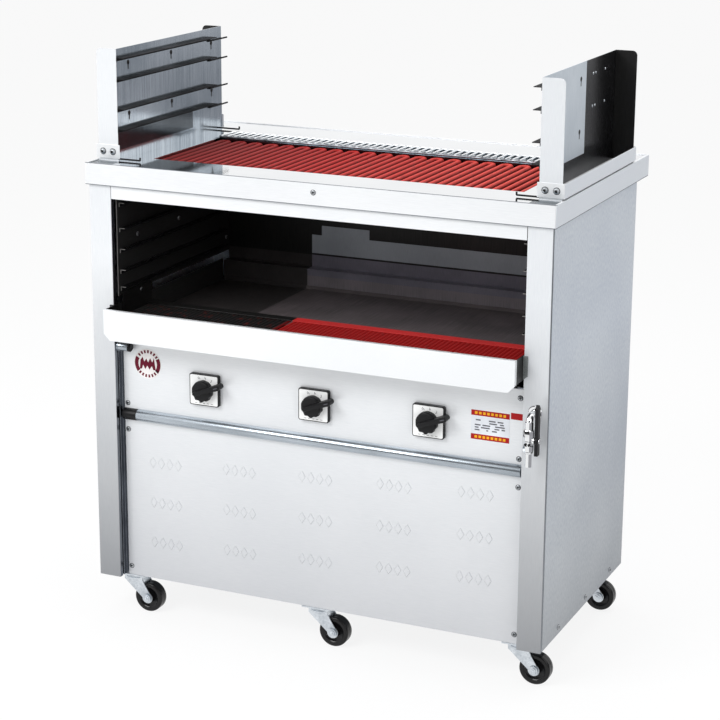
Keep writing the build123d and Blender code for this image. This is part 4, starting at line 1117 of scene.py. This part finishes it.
def makeCock():
    look = cockLook
    base = Vector((look["offset"] * mm, frontY - look["standoff"] * mm, 0))
    bore, edge, radius, neck = look["bore"], look["spout"], look["body"], look["neck"]
    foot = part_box("drain_cock")[0].z / mm
    bottom = foot + look["spoutLength"]
    top = bottom + look["bodyLength"]
    pipe = top + look["pipeAbove"]
    spout = [(bore, bottom), (bore, foot), (edge - 0.6, foot), (edge, foot + 0.8), (edge, bottom - 4),
             (edge + 2, bottom - 2), (radius - 2, bottom)]
    body = [(radius - 2.5, bottom), (radius - 0.5, bottom + 1.5), (radius, bottom + 3),
            (radius, bottom + 12), (radius - 1.8, bottom + 14), (radius - 1.8, top - 24),
            (radius, top - 22), (radius, top - 3), (radius - 1, top - 1), (neck, top)]
    elbow = [(neck, top - 1), (neck, pipe - 9), (neck - 1, pipe - 8)]
    mesh = bmesh.new()
    lathe(mesh, spout, base, (0, 0, 1), 48)
    lathe(mesh, body, base, (0, 0, 1), 8)
    lathe(mesh, elbow, base, (0, 0, 1), 48)
    pivot = base + Vector((0, 0, (pipe - look["pivotBelow"]) * mm))
    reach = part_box("cock_lever")[0].x / mm - look["leverGap"] - look["offset"]
    hub, pin, nut = look["hub"], look["pin"], look["nut"]
    nutFoot = reach + look["leverWidth"] - look["leverGap"]
    lathe(mesh, [(hub, 0), (hub, reach - 1), (hub - 1, reach)], pivot, (1, 0, 0), 32)
    lathe(mesh, [(pin, reach - 1), (pin, nutFoot), (nut - 0.4, nutFoot), (nut, nutFoot + 0.6),
                 (nut, nutFoot + 1.4), (nut - 0.8, nutFoot + 2)], pivot, (1, 0, 0), 32)
    wide, hole, high = look["ring"], look["ringBore"], look["ringHeight"]
    ring = [(hole, 0), (wide, 0), (wide, high - 1.4), (wide - 1.4, high - 0.2), (wide - 5, high),
            (hole, high)]
    lathe(mesh, ring, Vector((base.x, frontY, pipe * mm)), (0, -1, 0), 48, closed=True)
    addPiece("drain_cock_body", mesh, chrome, "cabinet", ("drain_cock",), 30)
    # two dark discs on the body are painted shade for its holes
    holeShade = [(look["holeShade"], radius - 4), (look["holeShade"], radius - 0.6), (look["holeShade"] - 0.4, radius - 0.3)]
    mesh = bmesh.new()
    for across in (-look["holeShadeAcross"], look["holeShadeAcross"]):
        spot = base + Vector((across * mm, 0, (bottom + look["holeShadeHeight"]) * mm))
        lathe(mesh, holeShade, spot, (0, -1, 0), 24)
    addPiece("drain_cock_hole_shade", mesh, blackPlastic, "cabinet")


makeCock()
print("drain cock made")


# Studio: a pale floor, a white world and soft lamps, in metres and watts

studio = {
    "floorSize": (90, 90), "floorDepth": 0.02, "floorColour": (0.93, 0.935, 0.94), "floorRough": 0.9,
    "floorWhite": 0.86, "worldDiffuse": 0.62, "aim": (0, 0, 0.65),
    "key": ((-1.4, -3.0, 3.0), (2.4, 1.6), 95), "fill": ((3.2, -1.8, 1.9), (1.6, 2.2), 14),
    "top": ((0.2, 0.6, 3.3), (2.6, 1.8), 40),
}


def studioPlate(name, material, size, place, depth):
    mesh = bmesh.new()
    slab(mesh, rectangle(size[0] / mm, size[1] / mm), place, depth / mm)
    return meshObject(name, mesh, material)


def makeFloor():
    made, tree, shader = newMaterial("floor_paper")
    shader.inputs["Base Color"].default_value = (*studio["floorColour"], 1)
    shader.inputs["Roughness"].default_value = studio["floorRough"]
    white = tree.nodes.new("ShaderNodeEmission")
    path = tree.nodes.new("ShaderNodeLightPath")
    seen = maths(tree, "MAXIMUM", path.outputs["Is Camera Ray"], path.outputs["Is Glossy Ray"])
    blend = tree.nodes.new("ShaderNodeMixShader")
    tree.links.new(maths(tree, "MULTIPLY", seen, studio["floorWhite"]), blend.inputs[0])
    tree.links.new(shader.outputs[0], blend.inputs[1])
    tree.links.new(white.outputs[0], blend.inputs[2])
    tree.links.new(blend.outputs[0], tree.nodes["Material Output"].inputs["Surface"])
    depth = studio["floorDepth"]
    floor = studioPlate("floor", made, studio["floorSize"], Matrix.Translation((0, 0, -depth)), depth)


def makeWorld():
    world = bpy.data.worlds.new("studio_world")
    world.use_nodes = True
    bpy.context.scene.world = world
    tree = world.node_tree
    background = tree.nodes["Background"]
    path = tree.nodes.new("ShaderNodeLightPath")
    seen = maths(tree, "MAXIMUM", path.outputs["Is Camera Ray"], path.outputs["Is Glossy Ray"])
    seen = maths(tree, "MAXIMUM", seen, path.outputs["Is Transmission Ray"])
    background.inputs["Color"].default_value = (1, 1, 1, 1)
    tree.links.new(spread(tree, seen, 0, 1, studio["worldDiffuse"], 1), background.inputs["Strength"])


def makeLamp(name, place, size, watts):
    data = bpy.data.lights.new(name, "AREA")
    data.shape = "RECTANGLE"
    data.size, data.size_y = size
    data.energy = watts
    lamp = newObject(name, data)
    lamp.location = place
    lamp.rotation_euler = (Vector(studio["aim"]) - Vector(place)).to_track_quat("-Z", "Y").to_euler()


# Dark cards stand in for the dim room that polished steel reflects; only reflections see them

cards = {
    "card_front": {"place": (0.0, -7.0, 2.6), "towards": (0, 1, 0), "size": (9.0, 4.6), "level": 0.05},
    "card_right": {"place": (6.0, 2.0, 1.5), "towards": (-1, 0, 0), "size": (12.0, 3.0), "level": 0.34},
    "card_right_floor": {
        "place": (3.6, 3.0, 0.003), "towards": (0, 0, 1), "size": (5.2, 14.0), "level": 0.38,
    },
}
cardDepth = 0.01


def makeCard(name, look):
    made, tree, shader = newMaterial(name)
    level = look["level"]
    glow = tree.nodes.new("ShaderNodeEmission")
    glow.inputs["Color"].default_value = (level, level, level * 1.05, 1)
    tree.links.new(glow.outputs[0], tree.nodes["Material Output"].inputs["Surface"])
    turn = Vector(look["towards"]).to_track_quat("Z", "Y").to_matrix().to_4x4()
    card = studioPlate(name, made, look["size"], Matrix.Translation(look["place"]) @ turn, cardDepth)
    card.visible_camera = False
    card.visible_diffuse = False
    card.visible_shadow = False
    card.visible_transmission = False


makeFloor()
makeWorld()
for name in ("key", "fill", "top"):
    makeLamp("lamp_" + name, *studio[name])
for name, look in cards.items():
    makeCard(name, look)
print("studio made")


# Camera: where the photograph was taken from, with a small vertical shift

cameraLook = {
    "place": (1.6855, -3.7945, 1.7359), "yaw": -0.4211, "pitch": 0.2646, "roll": 0.0061,
    "focalPixels": 2040, "imagePixels": 720, "centreDrop": 25,
}


def makeCamera():
    look = cameraLook
    data = bpy.data.cameras.new("camera")
    data.sensor_width = 36
    data.lens = look["focalPixels"] / look["imagePixels"] * data.sensor_width
    data.shift_y = -look["centreDrop"] / look["imagePixels"]
    data.clip_end = 200
    camera = newObject("camera", data)
    camera.location = look["place"]
    forward = Vector((math.sin(look["yaw"]) * math.cos(look["pitch"]),
                      math.cos(look["yaw"]) * math.cos(look["pitch"]), -math.sin(look["pitch"])))
    aim = forward.to_track_quat("-Z", "Y") @ Matrix.Rotation(look["roll"], 3, "Z").to_quaternion()
    camera.rotation_euler = aim.to_euler()
    bpy.context.scene.camera = camera


makeCamera()
bpy.context.scene.view_settings.view_transform = "Standard"
